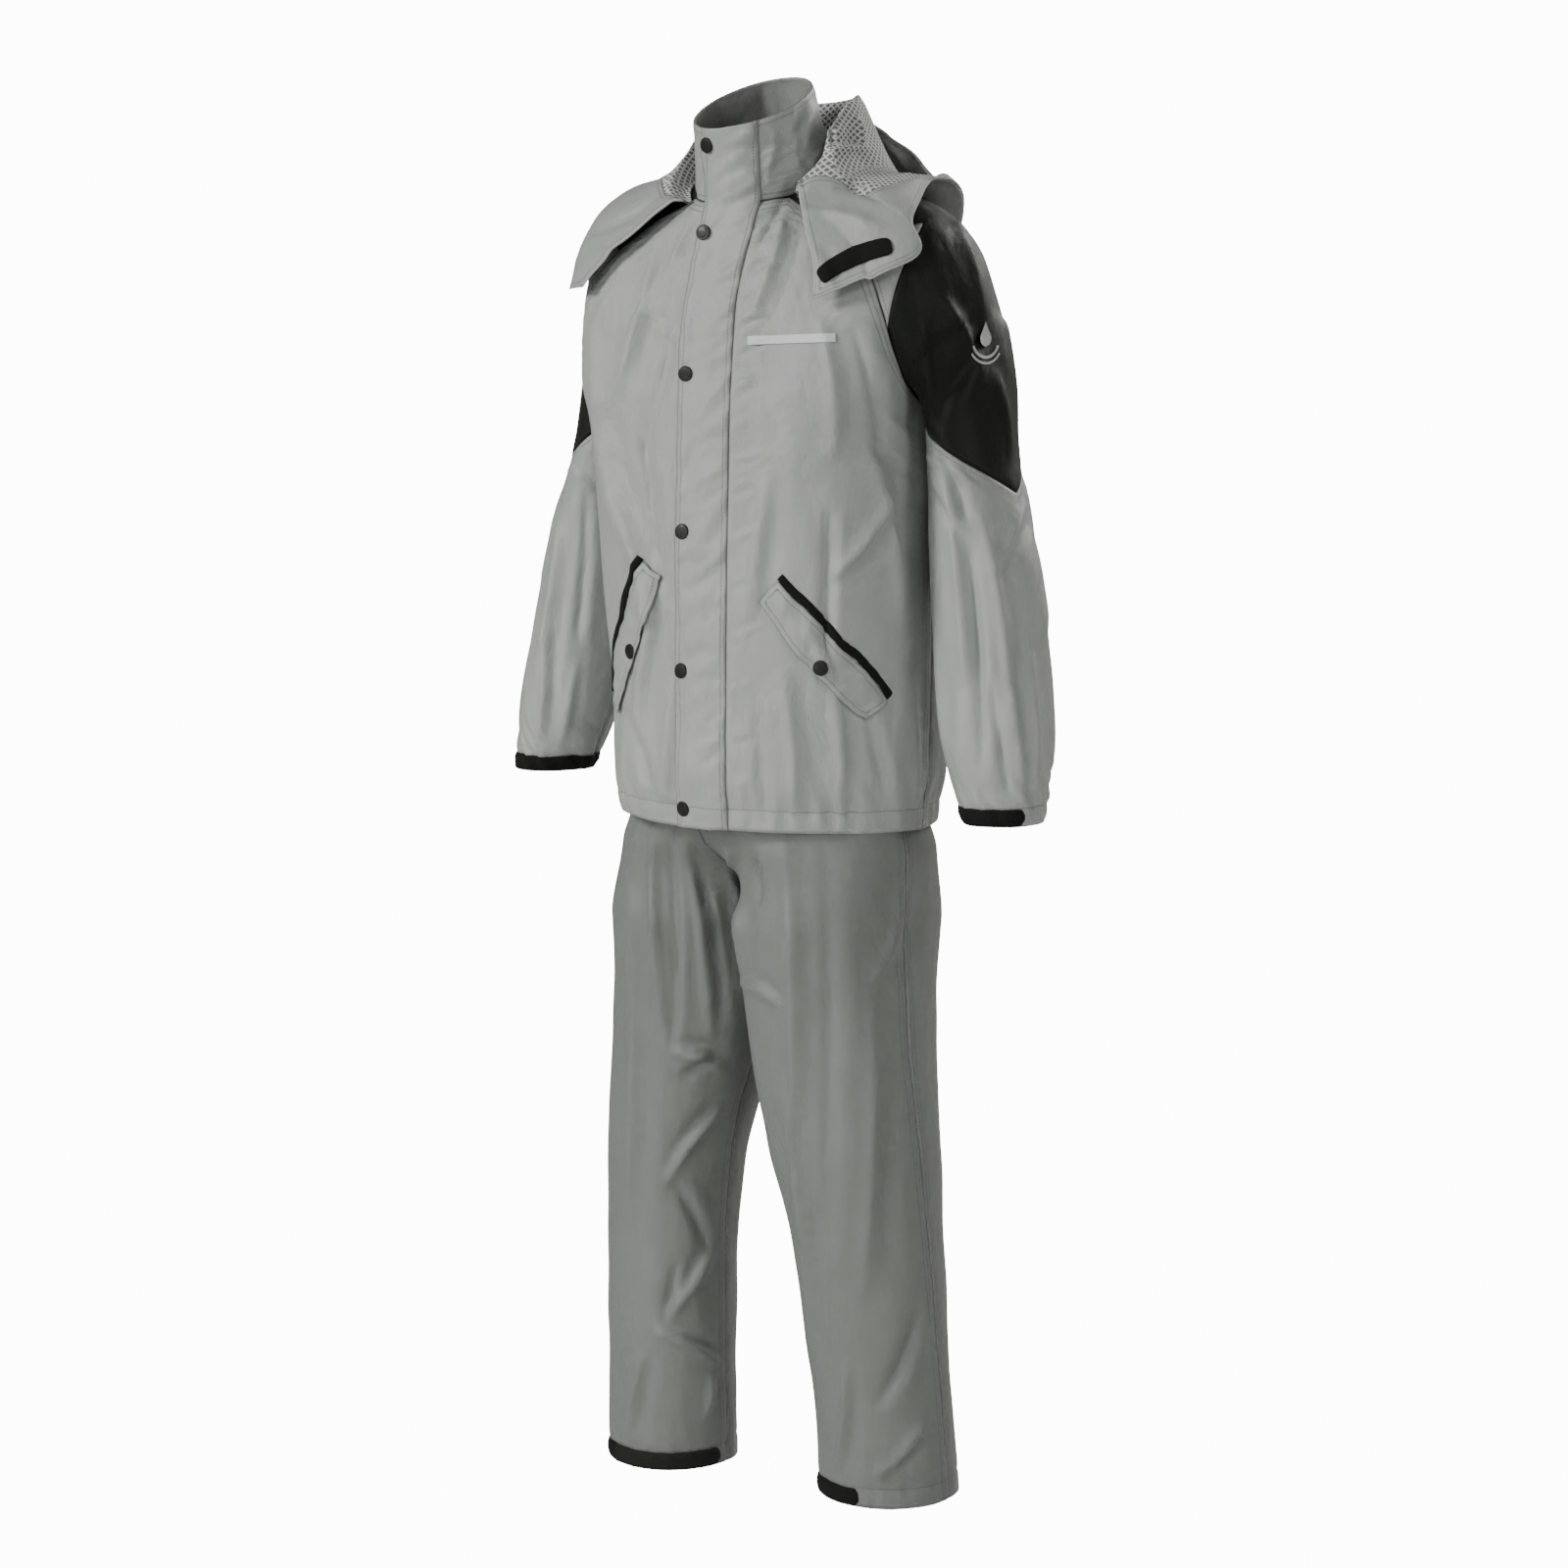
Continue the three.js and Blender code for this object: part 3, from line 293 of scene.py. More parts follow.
turnAngle, liftAngle = math.radians(30), math.radians(7.5)
view = {"target": (4.6, 2.7, -670), "distance": 4450, "focal": 4167}
view["back"] = np.array([
    math.sin(turnAngle) * math.cos(liftAngle), -math.cos(turnAngle) * math.cos(liftAngle), math.sin(liftAngle)])
view["right"] = np.array([math.cos(turnAngle), math.sin(turnAngle), 0])
view["up"] = np.cross(view["back"], view["right"])


# Uneven soft waves from -1 to 1 at points, of a size given per axis in millimetres.
def ripple(points, scale, seed):
    flat = (points / np.array(scale)).reshape(-1, 3) + seed * 17.3
    values = [noise.noise(Vector(p)) for p in flat.tolist()]
    return np.array(values).reshape(points.shape[:-1])


# One soft fold: a ridge (+) or trough (-) that fades at both ends, bowed by bend.
def ridge(x, y, line):
    x0, y0, x1, y1, width, height, bend = line
    length = math.hypot(x1 - x0, y1 - y0)
    t = ((x - x0) * (x1 - x0) + (y - y0) * (y1 - y0)) / length ** 2
    inside = np.clip(t, 0, 1)
    off = ((x - x0) * (y1 - y0) - (y - y0) * (x1 - x0)) / length - bend * 4 * inside * (1 - inside)
    away = off / (0.62 * width)
    profile = np.exp(-1.6 * np.sqrt(away ** 2 + 0.04)) - 0.3 * np.exp(-(((away - 1.7) / 1.1) ** 2))
    return height * np.sin(math.pi * inside) ** 0.6 * profile


# Folds laid out by their place in the photograph, or for hidden sides by across and height.
def foldHeight(grid, folds, seen=True):
    x, y = photoPlace(grid) if seen else (grid[..., 0], grid[..., 2])
    return sum((ridge(x, y, line) for line in folds), np.zeros(grid.shape[:-1]))


def finished(work, name, mats):
    for face in work.faces:
        face.smooth = True
    mesh = bpy.data.meshes.new(name)
    work.to_mesh(mesh)
    work.free()
    for mat in mats:
        mesh.materials.append(materials[mat])
    piece = bpy.data.objects.new(name, mesh)
    bpy.context.scene.collection.objects.link(piece)
    return piece


# A sheet of cloth on a grid of points in millimetres, its outer face up where rows run up and
# columns run to the wearer's left as seen from outside.
def clothMesh(name, grid, thickness, mats, seam=None):
    rows, columns = grid.shape[0] - 1, grid.shape[1] - 1
    work = bmesh.new()
    bmesh.ops.create_grid(work, x_segments=columns, y_segments=rows, size=1)
    work.verts.ensure_lookup_table()
    order = sorted(range(len(work.verts)), key=lambda k: (round(work.verts[k].co.y, 5), work.verts[k].co.x))
    placeOf = {}
    flat = (grid / 1000).reshape(-1, 3).tolist()
    for spot, k in enumerate(order):
        work.verts[k].co = flat[spot]
        placeOf[k] = spot
    across, up = lengths(grid, 1) / 1000, lengths(grid, 0) / 1000
    layers = {"cloth": np.stack([across, up], -1).reshape(-1, 2)}
    if seam is not None:
        layers["seam"] = (seam[..., :2] / 1000).reshape(-1, 2)
        layers["hem"] = (seam[..., 2:] / 1000).reshape(-1, 2)
    for layerName, values in layers.items():
        layer = work.loops.layers.uv.new(layerName)
        values = values.tolist()
        for face in work.faces:
            for loop in face.loops:
                loop[layer].uv = values[placeOf[loop.vert.index]]
    piece = finished(work, name, mats)
    shell = piece.modifiers.new("thickness", "SOLIDIFY")
    shell.thickness = thickness / 1000
    shell.offset = -1
    shell.use_even_offset = False
    shell.use_quality_normals = True
    shell.material_offset = len(mats) - 1  # the second material lines the inside
    shell.material_offset_rim = 0
    return piece


leastCut = 0.011  # metres


def areaOf(grid):
    side = np.linalg.norm(np.cross(grid[1:, 1:] - grid[:-1, :-1], grid[1:, :-1] - grid[:-1, 1:]), axis=-1)
    return side.sum() / 2e6


def assign(piece, node=None):
    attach(piece, root)
    if node:
        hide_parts(node)


# A piece of cloth on its grid. The cut of what shows is measured on its grid, but nothing uses the measure.
def addSheet(name, node, grid, thickness, mats, seam=None, cut=None):
    piece = clothMesh(name, grid, thickness, mats, seam)
    cut = grid if cut is None else cut
    width = lengths(cut, 1)[:, -1].max() / 1000
    length = lengths(cut, 0)[-1].max() / 1000
    area = areaOf(cut)
    assign(piece, node)
    if area < 0.4 * width * length:  # a pointed piece: its mean width stands for the cut
        width = area / (0.6 * length)
    width, length = (max(v, leastCut) for v in (width, length))


# Distance to the nearest sewn edge and length along it, in millimetres, then the height above
# a row of stitches, plus 100, and length along that. edges names the sewn sides of the grid.
def seamField(grid, edges, casing=None):
    across, up = lengths(grid, 1), lengths(grid, 0)
    away = {"first": (across, up), "last": (across[:, -1:] - across, up),
            "low": (up, across), "high": (up[-1:] - up, across)}
    fields = [away[edge] for edge in edges]
    hem = up - casing + 100 if casing else np.zeros_like(up)
    if not fields:
        return np.stack([np.full(across.shape, 99.0), up, hem, across], -1)
    distances = np.stack([f[0] for f in fields])
    alongs = np.stack([f[1] for f in fields])
    pick = distances.argmin(0)[None]
    nearestEdge = [np.take_along_axis(values, pick, 0)[0] for values in (distances, alongs)]
    return np.stack([*nearestEdge, hem, across], -1)


groove = {"deep": 0.8, "hem": 0.9, "half": 2.6, "pucker": 2.4, "reach": 26}  # millimetres


# The groove of a seam, with the cloth puckered beside it.
def sewnDip(seam, seed, pucker=0.7):
    away, along = seam[..., 0], seam[..., 1]
    cells = np.stack([along / 14, np.minimum(away, 40) / 60, np.zeros_like(along)], -1)
    waves = ripple(cells, (1, 1, 1), seed)
    near = np.exp(-((away / groove["reach"]) ** 2)) * ease(0, 8, away)
    hemDip = groove["hem"] * np.exp(-(((seam[..., 2] - 100) / groove["half"]) ** 2))
    dip = groove["deep"] * np.exp(-((away / groove["half"]) ** 2))
    return pucker * groove["pucker"] * waves * near - dip - hemDip


# Columns run to the wearer's left on every finished grid.
def turnOut(side, grid):
    return grid if side > 0 else grid[:, ::-1]


# Materials


# A node with named settings (lower case first) and inputs given by name or number.
def linked(tree, kind, **inputs):
    node = tree.nodes.new(kind)
    for key, value in inputs.items():
        if key.startswith("set_"):
            setattr(node, key[4:], value)
            continue
        byNumber = key[0] == "i" and key[1:].isdigit()
        socket = node.inputs[int(key[1:]) if byNumber else key.replace("_", " ")]
        if isinstance(value, bpy.types.NodeSocket):
            tree.links.new(value, socket)
        else:
            socket.default_value = value
    return node


def sums(tree, operation, a, b=0.0, c=0.0):
    return linked(tree, "ShaderNodeMath", set_operation=operation, i0=a, i1=b, i2=c).outputs[0]


def groupNodes(name, ins, outs):
    tree = bpy.data.node_groups.new(name, "ShaderNodeTree")
    for label, kind, default in ins:
        socket = tree.interface.new_socket(label, in_out="INPUT", socket_type=kind)
        if default is not None:
            socket.default_value = default
    for label, kind in outs:
        tree.interface.new_socket(label, in_out="OUTPUT", socket_type=kind)
    return tree, tree.nodes.new("NodeGroupInput").outputs, tree.nodes.new("NodeGroupOutput").inputs


scalar, vectorKind = "NodeSocketFloat", "NodeSocketVector"


# 1 where value is within half of centre, with a soft edge.
def band(tree, value, centre, half, soft):
    off = sums(tree, "ABSOLUTE", sums(tree, "SUBTRACT", value, centre))
    return linked(tree, "ShaderNodeMapRange", set_interpolation_type="SMOOTHSTEP", i0=off,
                  i1=half, i2=half + soft, i3=1.0, i4=0.0).outputs[0]


stitch = {"pitch": 0.0034, "dash": 0.3, "half": 0.0004, "soft": 0.0005, "groove": 0.0008, "offset": 0.006}


# Painted shade along the seam groove, and topstitching, from the seam map: across is the distance from the seam.
def stitchGroup():
    ins = [("Seam", vectorKind, None), ("Offset", scalar, stitch["offset"]), ("Second", scalar, -1.0),
           ("Hem", vectorKind, None)]
    tree, given, out = groupNodes("stitches", ins, [("GrooveShade", scalar), ("Thread", scalar)])

    def row(value, centre, soft=stitch["soft"]):
        return band(tree, value, centre, stitch["half"], soft)

    def dashes(along):
        pulse = sums(tree, "FRACT", sums(tree, "DIVIDE", along, stitch["pitch"]))
        return band(tree, pulse, 0.5, stitch["dash"], 0.12)

    seam, hem = (linked(tree, "ShaderNodeSeparateXYZ", i0=given[k]).outputs for k in (0, 3))
    rows = sums(tree, "MAXIMUM", row(seam[0], given[1]), row(seam[0], given[2]))
    seamRows = sums(tree, "MULTIPLY", rows, dashes(seam[1]))
    hemRow = sums(tree, "MULTIPLY", row(hem[0], 0.1), dashes(hem[1]))
    # the first output masks the painted shade in the seam groove, right at the sewn edge
    tree.links.new(row(seam[0], 0.0, stitch["groove"]), out[0])
    tree.links.new(sums(tree, "MAXIMUM", seamRows, hemRow), out[1])
    return tree


weave = {"pitch": 0.0011, "stretch": (1.0, 1.0, 0.55), "small": 0.25, "creases": 0.26, "height": 0.006}


# Height of the coated cloth: a fine plain weave and small uneven wrinkles.
def clothGroup():
    tree, given, out = groupNodes("coatedCloth", [("Cloth", vectorKind, None)],
                                  [("Weave", scalar), ("Wrinkles", scalar), ("Shade", scalar)])
    place = linked(tree, "ShaderNodeTexCoord").outputs["Object"]
    parts = linked(tree, "ShaderNodeSeparateXYZ", i0=given[0]).outputs
    turns = 2 * math.pi / weave["pitch"]
    threads = [sums(tree, "SINE", sums(tree, "MULTIPLY", parts[k], turns)) for k in (0, 1)]
    tree.links.new(sums(tree, "MULTIPLY", threads[0], threads[1]), out[0])
    stretched = linked(tree, "ShaderNodeMapping", i0=place, Scale=weave["stretch"]).outputs[0]
    warped, small, creases = (
        linked(tree, "ShaderNodeTexNoise", set_noise_type=kind, i0=stretched, Scale=scale, Detail=detail,
               Roughness=rough, Distortion=distortion).outputs[0]
        for kind, scale, detail, rough, distortion in (
            ("FBM", 9.0, 4.0, 0.5, 0.7), ("FBM", 38.0, 3.0, 0.45, 0.4),
            ("RIDGED_MULTIFRACTAL", 5.5, 1.5, 0.35, 0.5)))
    both = sums(tree, "MULTIPLY_ADD", small, weave["small"], warped)
    tree.links.new(sums(tree, "MULTIPLY_ADD", creases, weave["creases"], both), out[1])
    wide = linked(tree, "ShaderNodeTexNoise", i0=place, Scale=5.0, Detail=2.0)
    tree.links.new(wide.outputs[0], out[2])
    return tree


knit = {"across": 0.0092, "up": 0.0068, "hole": 0.24, "soft": 0.12, "turn": 9.0}


# Open diamond knit: 1 on a thread, 0 in a hole.
def meshGroup():
    tree, _, out = groupNodes("diamondKnit", [], [("Thread", scalar)])
    coordinates = tree.nodes.new("ShaderNodeTexCoord").outputs
    place = linked(tree, "ShaderNodeSeparateXYZ", i0=coordinates["Object"]).outputs
    normal = linked(tree, "ShaderNodeSeparateXYZ", i0=coordinates["Normal"]).outputs
    weights = [sums(tree, "POWER", sums(tree, "ABSOLUTE", normal[k]), knit["turn"]) for k in range(3)]
    total = sums(tree, "ADD", sums(tree, "ADD", weights[0], weights[1]), weights[2])
    shown = 0.0
    for k, (across, up) in enumerate(((1, 2), (0, 2), (0, 1))):
        u = sums(tree, "DIVIDE", place[across], knit["across"])
        v = sums(tree, "DIVIDE", place[up], knit["up"])
        holes = [band(tree, sums(tree, "FRACT", sums(tree, way, u, v)), 0.5, knit["hole"], knit["soft"])
                 for way in ("ADD", "SUBTRACT")]
        hole = sums(tree, "MULTIPLY", sums(tree, "MULTIPLY", *holes), weights[k])
        shown = sums(tree, "ADD", hole, shown)
    tree.links.new(sums(tree, "SUBTRACT", 1.0, sums(tree, "DIVIDE", shown, total)), out[0])
    return tree


stitches, coated, diamonds = stitchGroup(), clothGroup(), meshGroup()


def principled(name, colour, roughness, specular=0.5):
    material = bpy.data.materials.new(name)
    material.use_nodes = True
    shader = material.node_tree.nodes["Principled BSDF"]
    shader.inputs["Base Color"].default_value = (*colour, 1)
    shader.inputs["Roughness"].default_value = roughness
    shader.inputs["Specular IOR Level"].default_value = specular
    return material, material.node_tree, shader


def uvOf(tree, name):
    return linked(tree, "ShaderNodeUVMap", set_uv_map=name).outputs[0]


def blended(tree, factor, a, b):
    node = tree.nodes.new("ShaderNodeMix")
    node.data_type = "RGBA"
    for socket, value in ((0, factor), (6, a), (7, b)):
        if isinstance(value, bpy.types.NodeSocket):
            tree.links.new(value, node.inputs[socket])
        else:
            node.inputs[socket].default_value = value
    return node.outputs[2]


# Satin coated polyester. thread is how light the topstitching is beside the cloth.
def clothMaterial(name, colour, roughness=0.37, thread=0.8, second=-1.0, wrinkles=0.010, sewn=True,
                  specular=0.5):
    material, tree, shader = principled(name, colour, roughness, specular)
    cloth = linked(tree, "ShaderNodeGroup", set_node_tree=coated, i0=uvOf(tree, "cloth")).outputs
    darker, lighter, grooveShade, threads = (tuple(c * k for c in colour) + (1,) for k in (0.93, 1.06, 0.22, thread))
    base = blended(tree, cloth[2], darker, lighter)
    height = sums(tree, "MULTIPLY_ADD", cloth[0], weave["height"], cloth[1])
    if sewn:
        marks = linked(tree, "ShaderNodeGroup", set_node_tree=stitches, i0=uvOf(tree, "seam"), Second=second,
                       Hem=uvOf(tree, "hem")).outputs
        # painted shade: the seam groove is darkened towards a fifth of the cloth's colour
        base = blended(tree, sums(tree, "MULTIPLY", marks[0], 0.6), base, grooveShade)
        base = blended(tree, sums(tree, "MULTIPLY", marks[1], 0.7), base, threads)
        height = sums(tree, "MULTIPLY_ADD", marks[1], -0.03, height)
    tree.links.new(base, shader.inputs["Base Color"])
    bump = linked(tree, "ShaderNodeBump", Strength=1.0, Distance=wrinkles, Height=height)
    tree.links.new(bump.outputs[0], shader.inputs["Normal"])
    shader.inputs["Sheen Weight"].default_value = 0.05
    return material


shellColour, trouserColour, darkColour = (0.385, 0.4, 0.385), (0.185, 0.193, 0.178), (0.011, 0.0125, 0.009)
materials = {
    "shell": clothMaterial("shell", shellColour, thread=0.45),
    "inside": clothMaterial("shellInside", (0.3, 0.31, 0.295), thread=0.45, sewn=False),
    "trousers": clothMaterial("trousers", trouserColour, 0.48, thread=0.5, second=0.011, wrinkles=0.006),
    "trousersInside": clothMaterial("trousersInside", (0.11, 0.115, 0.105), sewn=False),
    "overarm": clothMaterial("overarm", darkColour, 0.45, thread=2.5, wrinkles=0.005, specular=0.16),
    "overarmInside": clothMaterial("overarmInside", (0.02, 0.02, 0.02), sewn=False),
    "raglan": clothMaterial("shellRaglan", shellColour, thread=0.4, second=0.012),
}
snapPaint, _, shader = principled("snap", (0.007, 0.0075, 0.006), 0.5, 0.35)
shader.inputs["Coat Weight"].default_value = 0.08
tapePaint, tree, shader = principled("tape", (0.006, 0.006, 0.005), 0.9, 0.25)
place = linked(tree, "ShaderNodeTexCoord").outputs["Object"]
hooks = linked(tree, "ShaderNodeTexNoise", i0=place, Scale=900.0)
bump = linked(tree, "ShaderNodeBump", Strength=0.8, Distance=0.0006, Height=hooks.outputs[0])
tree.links.new(bump.outputs[0], shader.inputs["Normal"])
knitPaint, tree, shader = principled("mesh", (0.6, 0.61, 0.58), 0.7, 0.3)
thread = linked(tree, "ShaderNodeGroup", set_node_tree=diamonds).outputs[0]
# the holes are painted dark grey as painted shade of the shell seen through them; the threads are light grey
knitWithShadedHoles = blended(tree, thread, (0.17, 0.175, 0.165, 1), (0.66, 0.67, 0.64, 1))
tree.links.new(knitWithShadedHoles, shader.inputs["Base Color"])
bump = linked(tree, "ShaderNodeBump", Strength=1.0, Distance=0.0012, Height=thread)
tree.links.new(bump.outputs[0], shader.inputs["Normal"])
materials.update(
    snap=snapPaint, tape=tapePaint, mesh=knitPaint,
    piping=principled("piping", (0.5, 0.51, 0.49), 0.6)[0],
    loops=principled("loops", (0.017, 0.018, 0.014), 0.95, 0.2)[0],
    reflective=principled("reflective", (0.72, 0.73, 0.74), 0.28)[0])
print("materials")


# Panels. Folds are x0, y0, x1, y1, width, height and bow: in photo pixels where they show, and on
# hidden sides in millimetres from the middle and up.

seenFolds = [
    (668, 255, 618, 420, 15, 4.5, 6), (694, 290, 652, 470, 12, -3.5, 4), (606, 330, 636, 560, 16, 4, -8),
    (650, 400, 676, 620, 15, -3.5, 0), (625, 500, 668, 660, 14, 4.5, 5), (672, 600, 652, 760, 12, 4, -5),
    (638, 720, 668, 822, 12, -4, 0), (686, 690, 676, 835, 9, 3.5, 0), (804, 196, 768, 262, 8, -2.5, 0),
    (800, 225, 762, 330, 12, 3, 4), (835, 322, 850, 470, 16, 4, 8), (868, 330, 900, 470, 14, -3.5, 6),
    (908, 500, 846, 592, 12, 5, 8), (846, 520, 843, 670, 11, -4, 0), (880, 440, 920, 640, 17, 4.5, 8),
    (785, 480, 762, 640, 14, 3.5, 0), (850, 700, 858, 852, 12, 5, 4), (884, 720, 912, 848, 11, -4, 0),
    (798, 680, 812, 842, 15, 4, 4), (932, 690, 935, 846, 9, 3.5, 0), (770, 700, 782, 846, 10, -3, 0),
    (742, 205, 705, 250, 7, 2.2, 3), (760, 150, 735, 195, 7, 2, 0), (735, 245, 700, 300, 8, -2, 3),
    (706, 226, 660, 300, 9, 2.4, 4), (690, 236, 640, 330, 11, -2.4, 5), (640, 322, 700, 352, 9, 1.6, 3),
    (818, 236, 786, 330, 9, -1.8, 3), (900, 322, 920, 400, 8, 2.2, 3), (888, 420, 930, 452, 9, 2.2, 4),
    (878, 452, 936, 492, 8, -2, 3), (600, 700, 618, 800, 8, 2.2, 3), (640, 800, 720, 832, 8, 1.8, 4),
    (660, 560, 690, 668, 9, 2, 4), (800, 838, 900, 846, 6, 1.4, 2), (820, 636, 850, 704, 8, 2, 3),
]
sleeveFolds = [
    (962, 470, 985, 700, 13, 5, 5), (1000, 520, 1032, 760, 16, 5, 6), (985, 560, 1002, 790, 11, -4.5, 4),
    (1050, 640, 1060, 820, 12, 4, 0), (1010, 690, 1030, 822, 9, -4, 0), (1032, 700, 1046, 824, 8, 4, 0),
    (945, 440, 985, 530, 10, -4, 4), (956, 300, 1000, 390, 14, 4, 6), (1000, 340, 955, 420, 12, -3.5, 5),
    (940, 330, 950, 440, 9, 3, 3), (975, 225, 1005, 330, 15, 3.5, 4), (1015, 380, 1030, 470, 10, 3, 3),
    (572, 520, 545, 700, 11, 4.5, 4), (598, 500, 580, 720, 10, -3.5, 4), (560, 640, 552, 755, 8, 4, 0),
    (935, 462, 1000, 500, 9, 2.6, 4), (938, 488, 985, 560, 8, -2.6, 3), (1046, 512, 1010, 590, 9, 2.4, 3),
    (948, 640, 962, 800, 8, 3, 3), (1062, 540, 1066, 660, 9, 2.6, 3), (572, 474, 606, 500, 8, 2, 2),
    (590, 640, 570, 770, 8, 3.5, 3),
]
legFolds = [
    (680, 830, 686, 1068, 9, -6, 5), (667, 836, 676, 1050, 8, 5, -4), (698, 850, 726, 1062, 9, 5, 5),
    (712, 890, 739, 1040, 7, -5, 3), (686, 1073, 740, 1090, 9, 6, 4), (695, 1100, 735, 1078, 8, -4, 2),
    (682, 1206, 738, 1130, 9, 5, 5), (684, 1204, 724, 1278, 11, -4, 4), (682, 1342, 728, 1270, 9, 4.5, -5),
    (668, 1358, 736, 1394, 9, 5, 4), (726, 1400, 718, 1450, 7, 4, 3), (690, 1290, 676, 1350, 9, -3.5, 0),
    (644, 900, 640, 1250, 14, 3.5, 4), (742, 858, 756, 1010, 9, 5, 4), (766, 862, 774, 925, 7, -4, 3),
    (752, 1002, 800, 1030, 8, 4, 5), (800, 850, 808, 1180, 16, 4, 5), (842, 860, 838, 1300, 20, -3.5, 6),
    (925, 900, 890, 1006, 14, 4.5, 6), (890, 1000, 880, 1330, 18, 3.5, 5), (798, 1100, 830, 1400, 12, 3.5, 4),
    (940, 1330, 892, 1440, 12, -4, 6), (945, 1450, 890, 1510, 9, 4.5, 5), (862, 1390, 856, 1500, 10, 3.5, 3),
    (655, 1380, 640, 1470, 10, 3.5, 0),
]
hiddenFolds = [
    (90, -130, 130, -420, 22, 5, 8), (-70, -150, -110, -480, 24, -5, 8), (20, -300, 40, -620, 22, 5, 6),
    (-120, -400, -90, -690, 20, 5, 5), (130, -430, 100, -690, 20, -4.5, 5), (-30, -520, -20, -695, 14, 4, 3),
    (60, -560, 66, -696, 12, 4, 3), (0, -150, 60, -300, 20, 4, 6), (-262, -330, -290, -600, 16, 5, 5),
    (262, -330, 292, -620, 16, 5, 5), (280, -420, 305, -670, 12, -4, 3), (-285, -450, -300, -650, 12, -4, 3),
]
hiddenLegFolds = [
    (100, -760, 120, -1120, 20, 5, 8), (60, -850, 100, -1010, 14, -5, 5),
    (-90, -760, -110, -1100, 20, 5, 8), (-60, -860, -110, -1010, 14, -5, 5),
    (80, -1150, 150, -1090, 13, 5, 6), (-150, -1170, -90, -1120, 13, 5, 6),
    (160, -900, 175, -1300, 18, 4, 5), (-160, -900, -175, -1300, 18, -4, 5),
    (100, -1380, 165, -1330, 12, 4.5, 5), (-170, -1400, -110, -1340, 12, 4.5, 5),
    (130, -1180, 140, -1420, 16, -3.5, 4), (-135, -1200, -140, -1420, 16, 4, 4),
]
# Short creases run from the storm flap's seam: down its edge, each reaches out and up a little.
flapEdge = ((196, 238, 300, 346, 403, 900), (776, 770, 760, 754, 747, 746))
crease = {
    "down": (204, 222, 238, 256, 272, 290, 308, 326, 344, 364, 386, 408, 436, 470, 508, 552, 600, 655, 706, 760, 806),
    "width": 4.5, "low": 0.7,
}
for k, y in enumerate(crease["down"]):
    x, reach, rise = np.interp(y, *flapEdge), (24, 34, 20, 30)[k % 4], (0.5, 0.28, 0.62)[k % 3]
    height = (2.0, -1.6, 2.3, 1.6, -1.8)[k % 5] * (1 if y < 420 else crease["low"])
    seenFolds.append((x, y, x + reach, y - reach * rise, crease["width"], height, 1))
drape = {"seen": 2.6, "hidden": 2.0, "broad": 2.2, "fine": 1.2, "inCasing": 0.25}
sheets = {}


allEdges = ("first", "last", "low", "high")


# The panel's smooth points with its folds, seams and small unevenness.
def shaped(grid, seam, seen, hidden, seed, pucker=0.7, roughen=1.0):
    normal = normalsOf(grid)
    facing = ease(-0.02, 0.3, normal @ view["back"])
    height = drape["seen"] * foldHeight(grid, seen) * facing
    height += drape["hidden"] * foldHeight(grid, hidden, seen=False) * (1 - facing)
    height *= mix(0.35, 1, ease(0, 22, seam[..., 0]))
    height *= np.where(seam[..., 2] > 0, mix(drape["inCasing"], 1, ease(80, 150, seam[..., 2])), 1)
    height += roughen * drape["broad"] * ripple(grid, (62, 62, 150), 1)
    height += roughen * drape["fine"] * ripple(grid, (26, 26, 60), 2)
    return grid + normal * (height + sewnDip(seam, seed, pucker))[..., None]


def addPanel(node, grid, mats, seen, hidden=(), edges=allEdges, casing=None, seed=0, pucker=0.7,
             thickness=0.9, gathers=None, roughen=1.0):
    seam = seamField(grid, edges, casing)
    grid = shaped(grid, seam, seen, hidden, seed, pucker, roughen)
    if gathers:
        grid = gathered(grid, *gathers)
    sheets[node] = grid
    addSheet(f"{node}_cloth", node, grid, thickness, mats, seam)


# Small upright gathers that fade between two heights above the lower edge.
def gathered(grid, low, high, pitch, height, seed):
    across, up = lengths(grid, 1), lengths(grid, 0)
    cells = np.stack([across / pitch, up / 90, np.zeros_like(up)], -1)
    amount = ease(0, 7, up) * (1 - ease(low, high, up))
    return grid + normalsOf(grid) * (height * ripple(cells, (1, 1, 1), seed) * amount)[..., None]


def bodyGrid(side, isBack, columns):
    share = np.linspace(0, 1, columns + 1)[None]
    low = torsoPoint(side, isBack, np.linspace(0, 1, 96, endpoint=False)[:, None], share)
    high = yokePoint(side, isBack, np.linspace(1, 0, 76)[:, None], share)
    return np.concatenate([low, high])


def overarmEnd(turn):
    return mix(overarm["point"], overarm["edge"], np.abs(turn) ** overarm["power"])


def gussetShare(along):
    rising = np.clip((along - gusset["from"]) / (gusset["corner"] - gusset["from"]), 0, 1)
    falling = np.clip((gusset["to"] - along) / (gusset["to"] - gusset["corner"]), 0, 1)
    return gusset["width"] * np.minimum(rising, falling)


shellMats, raglanMats = ("shell", "inside"), ("raglan", "inside")
words = {1: "left", -1: "right"}
hemCasing, cuffCasing, legCasing, waistCasing = 23, 20, 22, 17  # height of the row of stitches

